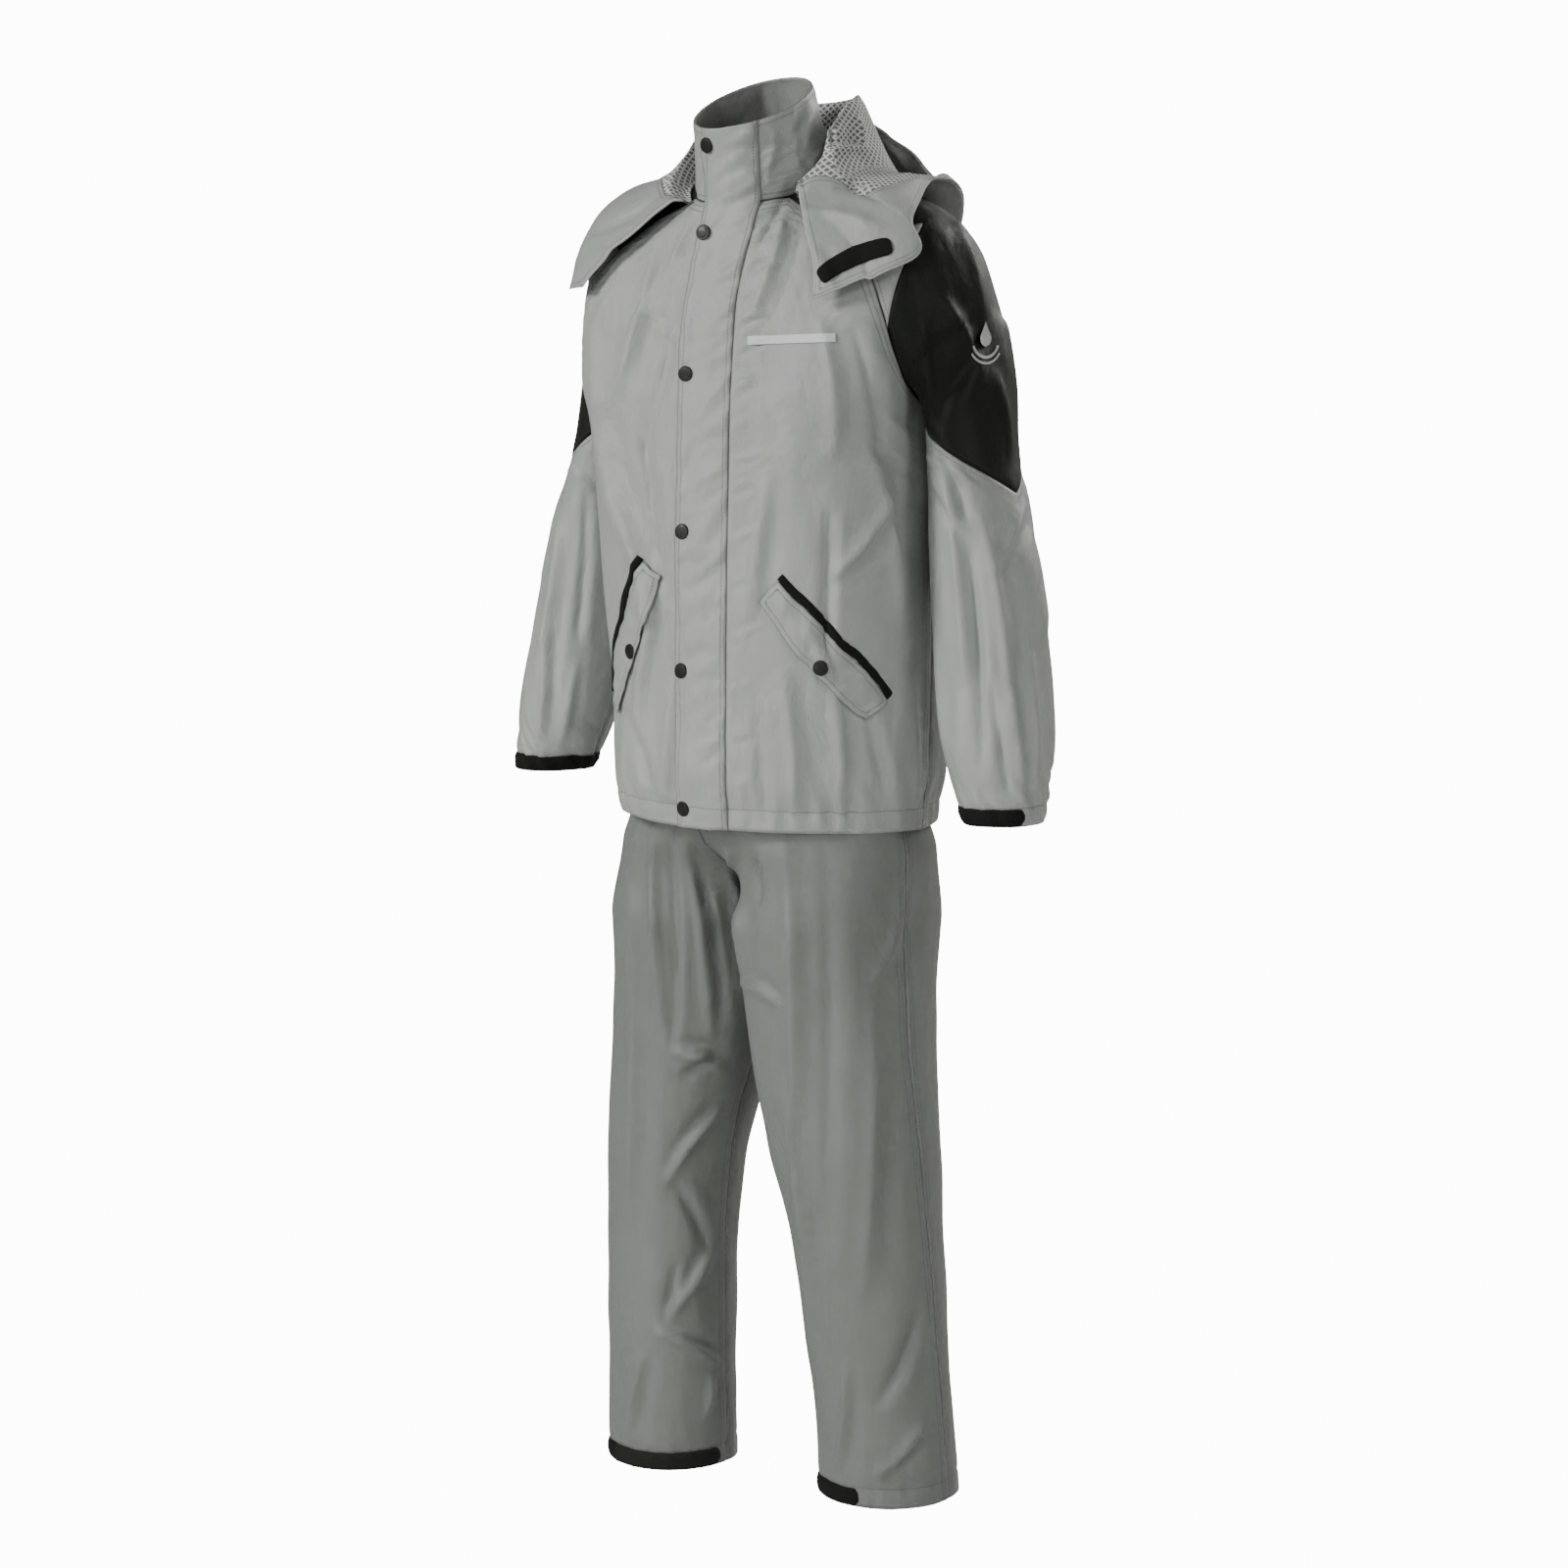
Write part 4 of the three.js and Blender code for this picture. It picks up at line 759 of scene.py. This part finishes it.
rawBack = np.concatenate([bodyGrid(1, True, 64)[:, ::-1], bodyGrid(-1, True, 64)[:, 1:]], axis=1)
addPanel("jacket_back", rawBack, shellMats, seenFolds, hiddenFolds, ("first", "last", "high"),
         hemCasing, seed=1, gathers=(26, 110, 12, 3.6, 3))
rawFronts, rawOverarms, rawLower = {}, {}, {}
for side, word in words.items():
    rawFronts[side] = turnOut(side, bodyGrid(side, False, 64))
    sewn = ("last" if side > 0 else "first", "high")
    addPanel(f"jacket_front_{word}", rawFronts[side], raglanMats, seenFolds, hiddenFolds, sewn,
             hemCasing, seed=2, gathers=(26, 110, 12, 3.4, 3))

    share = np.linspace(0, 1, 73)[None]
    fall = np.linspace(1, 0, 81)[:, None]
    along = overarmEnd(2 * share - 1) * fall
    rawOverarms[side] = turnOut(side, sleevePoint(side, along, mix(-1 + 2 * gussetShare(along), 1, share)))
    addPanel(f"sleeve_upper_{word}", rawOverarms[side], ("overarm", "overarmInside"),
             sleeveFolds, hiddenFolds, seed=3, pucker=0.5)

    turn = np.linspace(-1, 1, 97)[None]
    rise = np.linspace(0, 1, 111)[:, None]
    rawLower[side] = turnOut(side, sleevePoint(side, mix(2, overarmEnd(turn), rise), turn))
    addPanel(f"sleeve_lower_{word}", rawLower[side], shellMats, sleeveFolds, hiddenFolds,
             ("first", "last", "high"), cuffCasing, seed=4, gathers=(24, 90, 11, 4.4, 5))

    along = np.linspace(gusset["to"] - 0.003, gusset["from"] + 0.003, 41)[:, None]
    share = np.linspace(0, 1, 15)[None]
    part = turnOut(side, sleevePoint(side, along, -1 + 2 * gussetShare(along) * share))
    addPanel(f"gusset_{word}", part, shellMats, seenFolds, hiddenFolds, seed=5, pucker=0.3)
print("jacket panels")


# Trousers

for side, word in words.items():
    for isBack, half in ((False, "front"), (True, "back")):
        z = np.concatenate([np.linspace(trouser["hem"], trouser["crotch"], 120, endpoint=False),
                            np.linspace(trouser["crotch"], trouser["waist"], 80)])[:, None]
        share = np.linspace(0, 1, 61)[None]
        grid = turnOut(-side if isBack else side, trouserPoint(side, isBack, z, share))
        addPanel(f"trousers_{half}_{word}", grid, ("trousers", "trousersInside"), legFolds,
                 hiddenLegFolds, ("first", "last"), legCasing, seed=6, pucker=0.35,
                 gathers=(26, 70, 12, 1.6, 12))

waistband = {"height": 35, "rows": 14, "wave": 2.2, "gathers": 75}
share, top = np.linspace(0, 1, 40), np.array(float(trouser["waist"]))
quarters = [(1, True, share), (1, False, share[::-1]), (-1, False, share), (-1, True, share[::-1])]
waistRim = np.concatenate([trouserPoint(side, isBack, top, part)[1:] for side, isBack, part in quarters])
waistRim = np.concatenate([trouserPoint(1, True, top, share[:1]), waistRim])[::-1]
rise = np.linspace(0, waistband["height"], waistband["rows"])[:, None, None]
waistGrid = rise * np.array([0, 0, 1.0]) + waistRim[None]
wave = waistband["wave"] * np.sin(np.linspace(0, waistband["gathers"] * 2 * math.pi, waistGrid.shape[1]))
bulge = np.sin(np.linspace(0.15, math.pi - 0.15, waistband["rows"]))[:, None]
waistGrid += normalsOf(waistGrid) * (wave * bulge)[..., None]
addPanel("waistband", waistGrid, ("trousers", "trousersInside"), (), (), (), waistCasing, seed=7,
         roughen=0)
print("trousers")


# Collar

collar = {"halfWidth": 62, "halfDepth": 68, "centreY": -54, "front": 33, "back": 90, "roll": 0.05}


# The neck's edge, from the centre front round by the wearer's left.
def neckLine(count):
    share = np.linspace(0, 1, count)
    zero = np.zeros(count)
    turn = np.linspace(-1, 1, count)
    parts = [
        yokePoint(1, False, zero, share), sleevePoint(1, zero, turn)[1:], yokePoint(1, True, zero, share[::-1])[1:],
        yokePoint(-1, True, zero, share)[1:], sleevePoint(-1, zero, turn[::-1])[1:],
        yokePoint(-1, False, zero, share[::-1])[1:]]
    return np.concatenate(parts)


def collarGrid():
    foot = neckLine(34)[None]
    angle = np.arctan2(foot[..., 0], -(foot[..., 1] + 33))
    rim = pointsOf(
        collar["halfWidth"] * np.sin(angle), collar["centreY"] - collar["halfDepth"] * np.cos(angle),
        mix(collar["front"], collar["back"], (1 - np.cos(angle)) / 2) + collar["roll"] * foot[..., 0])
    rise = np.linspace(0, 1, 40)[:, None, None]
    return mix(foot, rim, rise)


rawCollar = collarGrid()
collarFolds = [
    (845, 92, 838, 150, 7, 3.2, 3), (828, 95, 800, 150, 8, -2.5, 3), (838, 150, 800, 196, 8, 3, 3),
    (790, 130, 778, 196, 9, 2, 2), (720, 140, 712, 190, 7, 2.2, 2), (810, 110, 816, 180, 7, 2.2, -3),
    (776, 190, 838, 168, 6, 1.8, 2), (778, 178, 826, 150, 6, -1.6, 2), (776, 160, 806, 144, 5, 1.5, 1),
]
hiddenCollarFolds = [(-40, 0, -30, 80, 12, 3, 3), (20, 10, 34, 80, 12, 3, 3)]
addPanel("collar", rawCollar, shellMats, collarFolds, hiddenCollarFolds, seed=8, pucker=0.6,
         thickness=2.4, roughen=0.6)


# Storm flap: a strip across the centre front, from the hem to the collar's edge

flap = {"sewn": 28, "free": -35, "shift": 9, "clear": 2.6, "columns": 17}


# Point of a row of points, in the order of x, at that x.
def crossing(row, x):
    return np.array([np.interp(x, row[:, 0], row[:, k]) for k in range(3)])


def centreRows():
    left, right = sheets["jacket_front_left"], sheets["jacket_front_right"]
    rows = [np.concatenate([right[j], left[j, 1:]]) for j in range(len(left))]
    stand = sheets["collar"]
    rows += [np.concatenate([stand[j, -26:-1], stand[j, :26]]) for j in range(1, len(stand))]
    return rows


def flapGrid():
    out = []
    for row in centreRows():
        near = row[np.abs(row[:, 0]) < 70]
        near = near[np.argsort(near[:, 0])]
        middle = crossing(near, 0.0)
        shift = flap["shift"] * float(ease(-160, -40, middle[2]))
        places = np.linspace(flap["free"], flap["sewn"], flap["columns"]) + shift
        out.append([crossing(near, x) for x in places])
    ground = np.array(out)
    smooth = ground.copy()
    for _ in range(14):
        smooth[1:-1] = (smooth[:-2] + 2 * smooth[1:-1] + smooth[2:]) / 4
    return smooth, ground


# The flap lies on the front, rounded down at its free edge and puckered along its seam.
def flapShape(grid, ground):
    across, up = lengths(grid, 1), lengths(grid, 0)
    width = across[:, -1:]
    lift = flap["clear"] + 0.9 * np.sin(math.pi * np.clip(across / width, 0, 1))
    lift = lift * (0.35 + 0.65 * ease(-1, 7, across)) * (0.3 + 0.7 * ease(-1, 6, width - across))
    cells = np.stack([(up - 0.5 * across) / 13, across / 30, np.zeros_like(up)], -1)
    long = np.stack([up / 46, across / 60, np.zeros_like(up)], -1)
    toSeam = np.exp(-(((width - across) / 22) ** 2))
    waves = (4.6 * toSeam + 1.2) * ripple(cells, (1, 1, 1), 9) + 2.2 * ripple(long, (1, 1, 1), 10)
    normal = normalsOf(grid)
    clear = ((ground - grid) * normal).sum(-1) + 0.9
    for _ in range(3):
        clear[1:-1] = np.maximum(clear[1:-1], np.maximum(clear[:-2], clear[2:]))
    for _ in range(5):
        clear[1:-1] = (clear[:-2] + 2 * clear[1:-1] + clear[2:]) / 4
    return grid + normal * np.maximum(lift + waves * ease(0, 5, width - across), clear)[..., None]


flapCloth = flapShape(*flapGrid())
sheets["storm_flap"] = flapCloth
flapSeam = seamField(flapCloth, ("first", "last"), hemCasing)
addSheet("storm_flap_cloth", "storm_flap", flapCloth, 1.4, shellMats, flapSeam)


# Snaps

snap = {
    "radius": 8, "height": 2.4, "fromEdge": 9, "heights": (-680, -532, -385, -220, -73, 16),
    "profile": ((1.02, -0.3), (1.04, 0.2), (1.0, 0.55), (0.93, 0.66), (0.88, 0.56), (0.8, 0.66), (0.6, 0.76),
                (0.3, 0.8), (0.001, 0.81)),  # shares of the radius and the height
}


# The line across a sheet at a height above its lower edge, and the length along it.
def levelLine(grid, y):
    up = lengths(grid, 0)
    line = np.array([[np.interp(y, up[:, i], grid[:, i, k]) for k in range(3)] for i in range(grid.shape[1])])
    return line, lengths(line, 0)


# A place on a sheet, in millimetres across from its first column and up from its lower edge.
def placeOn(grid, x, y):
    line, run = levelLine(grid, y)
    return np.array([np.interp(x, run, line[:, k]) for k in range(3)])


def addSnap(node, grid, x, y):
    at = placeOn(grid, x, y)
    across = placeOn(grid, x + 4, y) - placeOn(grid, x - 4, y)
    normal = np.cross(across, placeOn(grid, x, y + 4) - placeOn(grid, x, y - 4))
    turn = Vector(normal).to_track_quat("Z", "Y").to_matrix()
    work = bmesh.new()
    start = [work.verts.new((r * snap["radius"], 0, h * snap["height"])) for r, h in snap["profile"]]
    edges = [work.edges.new(pair) for pair in zip(start, start[1:])]
    bmesh.ops.spin(work, geom=start + edges, cent=(0, 0, 0), axis=(0, 0, 1), steps=40, angle=2 * math.pi)
    bmesh.ops.remove_doubles(work, verts=work.verts, dist=0.02)
    bmesh.ops.recalc_face_normals(work, faces=work.faces)
    for vert in work.verts:
        vert.co = (turn @ vert.co + Vector(at)) / 1000
    assign(finished(work, f"{node}_cap", ["snap"]), node)


for k, z in enumerate(snap["heights"]):
    edge = flapCloth[:, 0]
    y = np.interp(z, edge[:, 2], lengths(flapCloth, 0)[:, 0])
    addSnap(f"snap_{k + 1}", flapCloth, snap["fromEdge"], y)
print("collar, flap and snaps")


# Pockets

pocket = {  # the welt's ends on each front, in millimetres across and up, and the sizes of its parts
    1: ((93, 272), (217, 149)), -1: ((84, 287), (176, 130)),
    "welt": 9, "depth": 31, "bulge": 11, "uneven": 2.2, "ripple": 2.6, "snap": 0.46,
}
welt = pocket["welt"]
for side, word in words.items():
    front = turnOut(side, sheets[f"jacket_front_{word}"])
    (x0, y0), (x1, y1) = pocket[side]
    long = math.hypot(x1 - x0, y1 - y0)
    sx, sy = (x1 - x0) / long, (y1 - y0) / long

    def place(down, ahead, lift):
        x, y = x0 + down * sx + ahead * sy, y0 + down * sy - ahead * sx
        line, run = levelLine(front, y)
        at, beside = (np.array([np.interp(x + step, run, line[:, k]) for k in range(3)]) for step in (0, 3))
        outward = np.cross(beside - at, (0, 0, 1)) * side
        return at + outward / np.linalg.norm(outward) * lift

    def strip(steps, widthSteps, ahead, lift, start=1.0):
        shares = [i / widthSteps for i in range(widthSteps + 1)]
        rows = [[place(long * (start - j / steps), ahead(j, t), lift(j, t)) for t in shares]
                for j in range(steps + 1)]
        return turnOut(side, np.array(rows))

    grid = strip(60, 6, lambda j, t: mix(welt / 2, -welt / 2, t),
                 lambda j, t: 1.2 + 1.5 * math.sin(math.pi * t))
    addSheet(f"pocket_welt_{word}_strip", f"pocket_welt_{word}", grid, 0.8, ["tape"], None)

    steps = 72

    def depthAt(j, t):
        uneven = pocket["uneven"] * noise.noise(Vector((j / 9, side * 3.1, 0.5)))
        deep = pocket["depth"] + pocket["bulge"] * math.sin(math.pi * j / steps) + uneven
        return welt / 2 + 0.3 + deep * (1 - t)

    def liftAt(j, t):
        waves = pocket["ripple"] * noise.noise(Vector((j / 7, 2 * t, side * 5.3)))
        crown = 1.0 + 2.6 * (1 - t) ** 0.5 + 1.6 * math.sin(math.pi * t)
        return crown + waves * min(1, j / 6, (steps - j) / 6)

    grid = strip(steps, 20, depthAt, liftAt, 1.01)
    addSheet(f"pocket_flap_{word}_cloth", f"pocket_flap_{word}", grid, 0.9, shellMats,
             seamField(grid, allEdges))
    x = snap["fromEdge"] if side > 0 else lengths(grid, 1)[36, -1] - snap["fromEdge"]
    addSnap(f"pocket_snap_{word}", grid, x, long * pocket["snap"])
print("pockets")


# Tapes

cuffTape = {"from": 5.9, "to": 12.7, "columns": 14, "low": 1, "high": 19.5, "lift": 2.2, "rounded": 6}
legTape = {1: (0.6, 5.2), -1: (0.6, 9.6), "low": 1, "high": 20.5, "lift": 2.2, "rounded": 5}  # ends in tenths


# A strip along the lower edge of a panel, between two heights above it, with rounded ends.
def bandOn(grid, size, rows=6):
    up, across = lengths(grid, 0), lengths(grid, 1)[0]
    near = np.minimum(np.minimum(across, across[-1] - across) / size["rounded"], 1)
    shrink = size["rounded"] * (1 - np.sqrt(1 - (1 - near) ** 2))
    heights = mix(size["low"] + shrink, size["high"] - shrink, np.linspace(0, 1, rows + 1)[:, None])
    out = np.array([[[np.interp(y, up[:, i], grid[:, i, k]) for k in range(3)] for i, y in enumerate(row)]
                    for row in heights])
    edge = np.sin(math.pi * np.linspace(0.12, 0.88, rows + 1))[:, None]
    return out + normalsOf(out) * (size["lift"] * edge)[..., None]


def addStrip(name, node, grid, matName, thickness=1.0):
    addSheet(name, node, grid, thickness, [matName], None)


for side, word in words.items():
    sleeveCloth = turnOut(side, sheets[f"sleeve_lower_{word}"])
    half = (sleeveCloth.shape[1] - 1) // 2
    ring = np.concatenate([sleeveCloth[:, half:-1], sleeveCloth[:, :half + 1]], axis=1)
    first, last = (round(cuffTape[key] / cuffTape["columns"] * 2 * half) for key in ("from", "to"))
    strap = bandOn(turnOut(side, ring[:24, first:last + 1]), cuffTape)
    addStrip(f"cuff_tape_{word}_strap", f"cuff_tape_{word}", strap, "tape")
    leg = turnOut(side, sheets[f"trousers_front_{word}"])
    first, last = (round(at / 10 * (leg.shape[1] - 1)) for at in legTape[side])
    strap = bandOn(turnOut(side, leg[:24, first:last + 1]), legTape)
    addStrip(f"leg_tape_{word}_strap", f"leg_tape_{word}", strap, "tape")
    if side < 0:  # the strap's free end lies over its hooks, from a third of its length
        over = (strap + normalsOf(strap))[:, strap.shape[1] // 3:]
        addStrip("leg_tape_right_over", None, over, "loops", thickness=0.8)
print("tapes")


# Hood


def hoodGrid(rows=84, columns=96):
    turn = np.linspace(0, 1, columns + 1)
    parts = []
    for side in (1, -1):
        border = section(hood[side], turn * 9)[8]
        inner = border[None] * np.linspace(0, 1, rows, endpoint=False)[:, None] ** 1.4
        outer = mix(border[None], 1, np.linspace(0, 1, rows // 2 + 1)[:, None])
        share = np.concatenate([inner, outer])[::-1]
        turns, share = np.broadcast_arrays(turn[None], share)
        grid = hoodPoint(side, turns, share)
        parts.append(grid if side > 0 else grid[:, ::-1][:, 1:])
    return np.concatenate(parts, axis=1), rows // 2


rawHood, borderRow = hoodGrid()
hoodFolds = [
    (842, 157, 886, 152, 8, 3.5, 3), (872, 118, 880, 150, 7, 3, 2), (815, 215, 905, 235, 12, 2.5, 5),
    (850, 190, 900, 206, 10, -2.5, 4), (830, 250, 850, 300, 9, 2, 2), (700, 205, 610, 262, 9, 3, 5),
    (680, 190, 600, 240, 12, -3, 4), (900, 140, 930, 178, 9, 3, 3), (846, 128, 850, 150, 7, -2.5, 2),
]
hiddenHoodFolds = [(60, 60, 90, -60, 16, 4, 5), (-60, 60, -90, -60, 16, 4, 5), (0, 40, 10, -100, 18, 4, 5)]
hoodCloth = shaped(rawHood, seamField(rawHood, ()), hoodFolds, hiddenHoodFolds, 11, roughen=0.8)
facingCloth, liningCloth = hoodCloth[:borderRow + 1], hoodCloth[borderRow:]
knitCloth = liningCloth - normalsOf(liningCloth) * 0.4
under = hoodCloth - normalsOf(hoodCloth) * 1.9
addSheet("hood_facing_cloth", "hood_facing", facingCloth, 0.8, shellMats,
         seamField(facingCloth, ("low", "high", "first", "last")))
addSheet("hood_lining_knit", "hood_lining", knitCloth, 0.6, ["mesh"], cut=liningCloth)
addSheet("hood_shell_cloth", "hood_shell", under, 0.8, ["shell"],
         seamField(under, ("low", "first", "last")))


# A round piping along a line of points.
def tube(name, line, radius, matName):
    work = bmesh.new()
    rings = []
    angles = np.linspace(0, 2 * math.pi, 8, endpoint=False)
    for at, tangent in zip(line, np.gradient(line, axis=0)):
        turn = Vector(tangent).to_track_quat("Z", "Y").to_matrix()
        circle = [Vector((radius * math.cos(a), radius * math.sin(a), 0)) for a in angles]
        rings.append([work.verts.new((Vector(at) + turn @ spot) / 1000) for spot in circle])
    for a, b in zip(rings, rings[1:]):
        for k in range(8):
            work.faces.new((a[k], a[(k + 1) % 8], b[(k + 1) % 8], b[k]))
    for ring in (rings[0][::-1], rings[-1]):
        work.faces.new(ring)
    assign(finished(work, name, [matName]))


rim = np.concatenate([facingCloth[::-1, 0], facingCloth[0, 1:], facingCloth[1:, -1]])
rimNormal = normalsOf(facingCloth)
rimOut = np.concatenate([rimNormal[::-1, 0], rimNormal[0, 1:], rimNormal[1:, -1]])
tube("hood_piping", rim - rimOut * 0.9, 1.1, "piping")


# A smooth stand-in for a sheet around a place in the photograph: it turns places in the
# photograph into points.
def fitted(grid, x, y, reach):
    px, py = (values - at for values, at in zip(photoPlace(grid), (x, y)))
    near = (np.hypot(px, py) < reach) & (normalsOf(grid) @ view["back"] > 0.1)
    depth = grid[near] @ view["back"]
    close = np.hypot(px[near][:, None] - px[near], py[near][:, None] - py[near]) < 9
    near[near] = depth > np.where(close, depth, -1e9).max(1) - 14
    powers = [(a, b) for a in range(4) for b in range(4 - a)]

    def terms(u, v):
        return np.stack([(u / reach) ** a * (v / reach) ** b for a, b in powers], -1)

    solved = np.linalg.lstsq(terms(px[near], py[near]), grid[near], rcond=None)[0]
    left = grid[near] - terms(px[near], py[near]) @ solved

    def at(u, v):
        u, v = np.asarray(u) - x, np.asarray(v) - y
        apart = (u[..., None] - px[near]) ** 2 + (v[..., None] - py[near]) ** 2
        closeness = np.exp(-apart / 24) + 1e-12
        return terms(u, v) @ solved + (closeness @ left) / closeness.sum(-1, keepdims=True)

    return at


# The long edges of the strip of tape, as they run in the photograph.
tapeHigh = ((832, 277), (842, 268), (855, 260), (870, 252), (886, 247), (898, 244), (908, 243))
tapeLow = ((841, 291), (850, 284), (860, 278), (873, 272), (888, 266), (901, 262), (912, 259))
tapeShare = np.linspace(0, 1, 61)[None]
stops = np.linspace(0, 1, len(tapeHigh))
high, low = ([np.interp(tapeShare, stops, [p[k] for p in edge]) for k in (0, 1)]
             for edge in (tapeHigh, tapeLow))
ends = np.clip(np.minimum(tapeShare, 1 - tapeShare) * 11, 0, 1)
tapeWidth = 0.55 + 0.45 * np.sqrt(ends * (2 - ends))
down = 0.5 + np.linspace(0.5, -0.5, 9)[:, None] * tapeWidth
tape = fitted(facingCloth[:, :97], 872, 266, 62)(mix(high[0], low[0], down), mix(high[1], low[1], down))
tape += normalsOf(tape) * (1.4 + 1.2 * np.sin(math.pi * np.linspace(0.05, 0.95, 9)))[:, None, None]
addStrip("hood_tape_strip", "hood_tape", tape, "tape")
print("hood")


# Marks: a plain reflective bar on the chest and a raindrop with two arcs on the left sleeve.

# A printed mark. outline gives its places in the photograph from its centre, from -1 to 1
# along and up.
def mark(name, sheet, centre, reach, outline, matName):
    along, up = np.linspace(-1, 1, 49)[None], np.linspace(-1, 1, 13)[:, None]
    x, y = np.broadcast_arrays(*outline(along, up))
    points = fitted(sheets[sheet], *centre, reach)(centre[0] + x, centre[1] - y)
    assign(clothMesh(name, points + normalsOf(points) * 1.1, 0.2, [matName]))


def arc(radius, width, low, high):
    def outline(along, up):
        angles = mix(math.radians(low), math.radians(high), (along + 1) / 2)
        r = radius - up * width / 2
        return 0.66 * r * np.cos(angles), r * np.sin(angles)
    return outline


# A raindrop with its point up: round below, tapered above.
def drop(along, up):
    y = 13 * up
    bowl = np.sqrt(np.clip(1 - ((y + 4.5) / 8.5) ** 2, 0, 1))
    taper = np.clip((13 - y) / 15.5, 0, 1) ** 1.1
    half = np.where(y < -2.5, bowl, taper) * 5.6 + 0.02
    return along * half, y + 3


mark("chest_bar", "jacket_front_left", (808, 346), 75, lambda along, up: (45 * along, 4.5 * up + 1.5 * along),
     "reflective")
for name, outline in (("drop", drop), ("arc_low", arc(21, 3, 205, 335)), ("arc_high", arc(27, 2.4, 218, 322))):
    mark(f"sleeve_mark_{name}", "sleeve_upper_left", (1005, 344), 55, outline, "piping")
print("marks")


# Camera, light and floor

scene = bpy.context.scene
eye = (np.array(view["target"]) + view["back"] * view["distance"]) / 1000
cameraData = bpy.data.cameras.new("camera")
cameraData.lens = 36 * view["focal"] / 1600
cameraData.sensor_width = 36
cameraData.clip_end = 50
camera = bpy.data.objects.new("camera", cameraData)
camera.location = eye
camera.rotation_euler = Vector(view["back"]).to_track_quat("Z", "Y").to_euler()
scene.collection.objects.link(camera)
scene.camera = camera


# Plain light for the set that shows brighter than it shines on the cloth.
def seenBright(tree, dim, bright):
    path = tree.nodes.new("ShaderNodeLightPath").outputs["Is Camera Ray"]
    return linked(tree, "ShaderNodeMapRange", i0=path, i1=0.0, i2=1.0, i3=dim, i4=bright).outputs[0]


backdrop = {"ambient": 0.15, "floor": 0.05, "shown": 13.0}
world = bpy.data.worlds.new("world")
world.use_nodes = True
tree = world.node_tree
background = tree.nodes["Background"].inputs
tree.links.new(seenBright(tree, backdrop["ambient"], backdrop["shown"]), background["Strength"])
background["Color"].default_value = (1, 1, 1, 1)
scene.world = world

lamps = [  # name, place in metres, size, power, aim height, opening in degrees
    ("key", (-2.3, -3.1, 1.8), 1.1, 140, -0.5, 180),
    ("front", (-0.3, -4.6, 0.8), 1.1, 44, -0.6, 180),
    ("outer", (3.8, -0.9, 0.4), 1.1, 30, -0.5, 180),
    ("legs", (3.2, -3.0, -1.3), 1.0, 0.9, -1.2, 24),
    ("rim", (1.0, 3.6, 1.5), 1.6, 85, -0.5, 180),
    ("low", (-1.2, -3.6, -1.2), 1.0, 1.8, -1.2, 40),
]
for name, place, size, power, aim, opening in lamps:
    data = bpy.data.lights.new(name, "AREA")
    data.size = size
    data.energy = power
    data.spread = math.radians(opening)
    lamp = bpy.data.objects.new(name, data)
    lamp.location = place
    lamp.rotation_euler = (Vector(place) - Vector((0, 0, aim))).to_track_quat("Z", "Y").to_euler()
    scene.collection.objects.link(lamp)

work = bmesh.new()
bmesh.ops.create_grid(work, x_segments=1, y_segments=1, size=60)
floor = finished(work, "floor", ())
floor.location = (0, 0, -1.62)
floorPaint, tree, shader = principled("floor", (0.5, 0.5, 0.5), 0.9, 0.1)
shader.inputs["Emission Color"].default_value = (1, 1, 1, 1)
tree.links.new(seenBright(tree, backdrop["floor"], backdrop["shown"]), shader.inputs["Emission Strength"])
floor.data.materials.append(floorPaint)
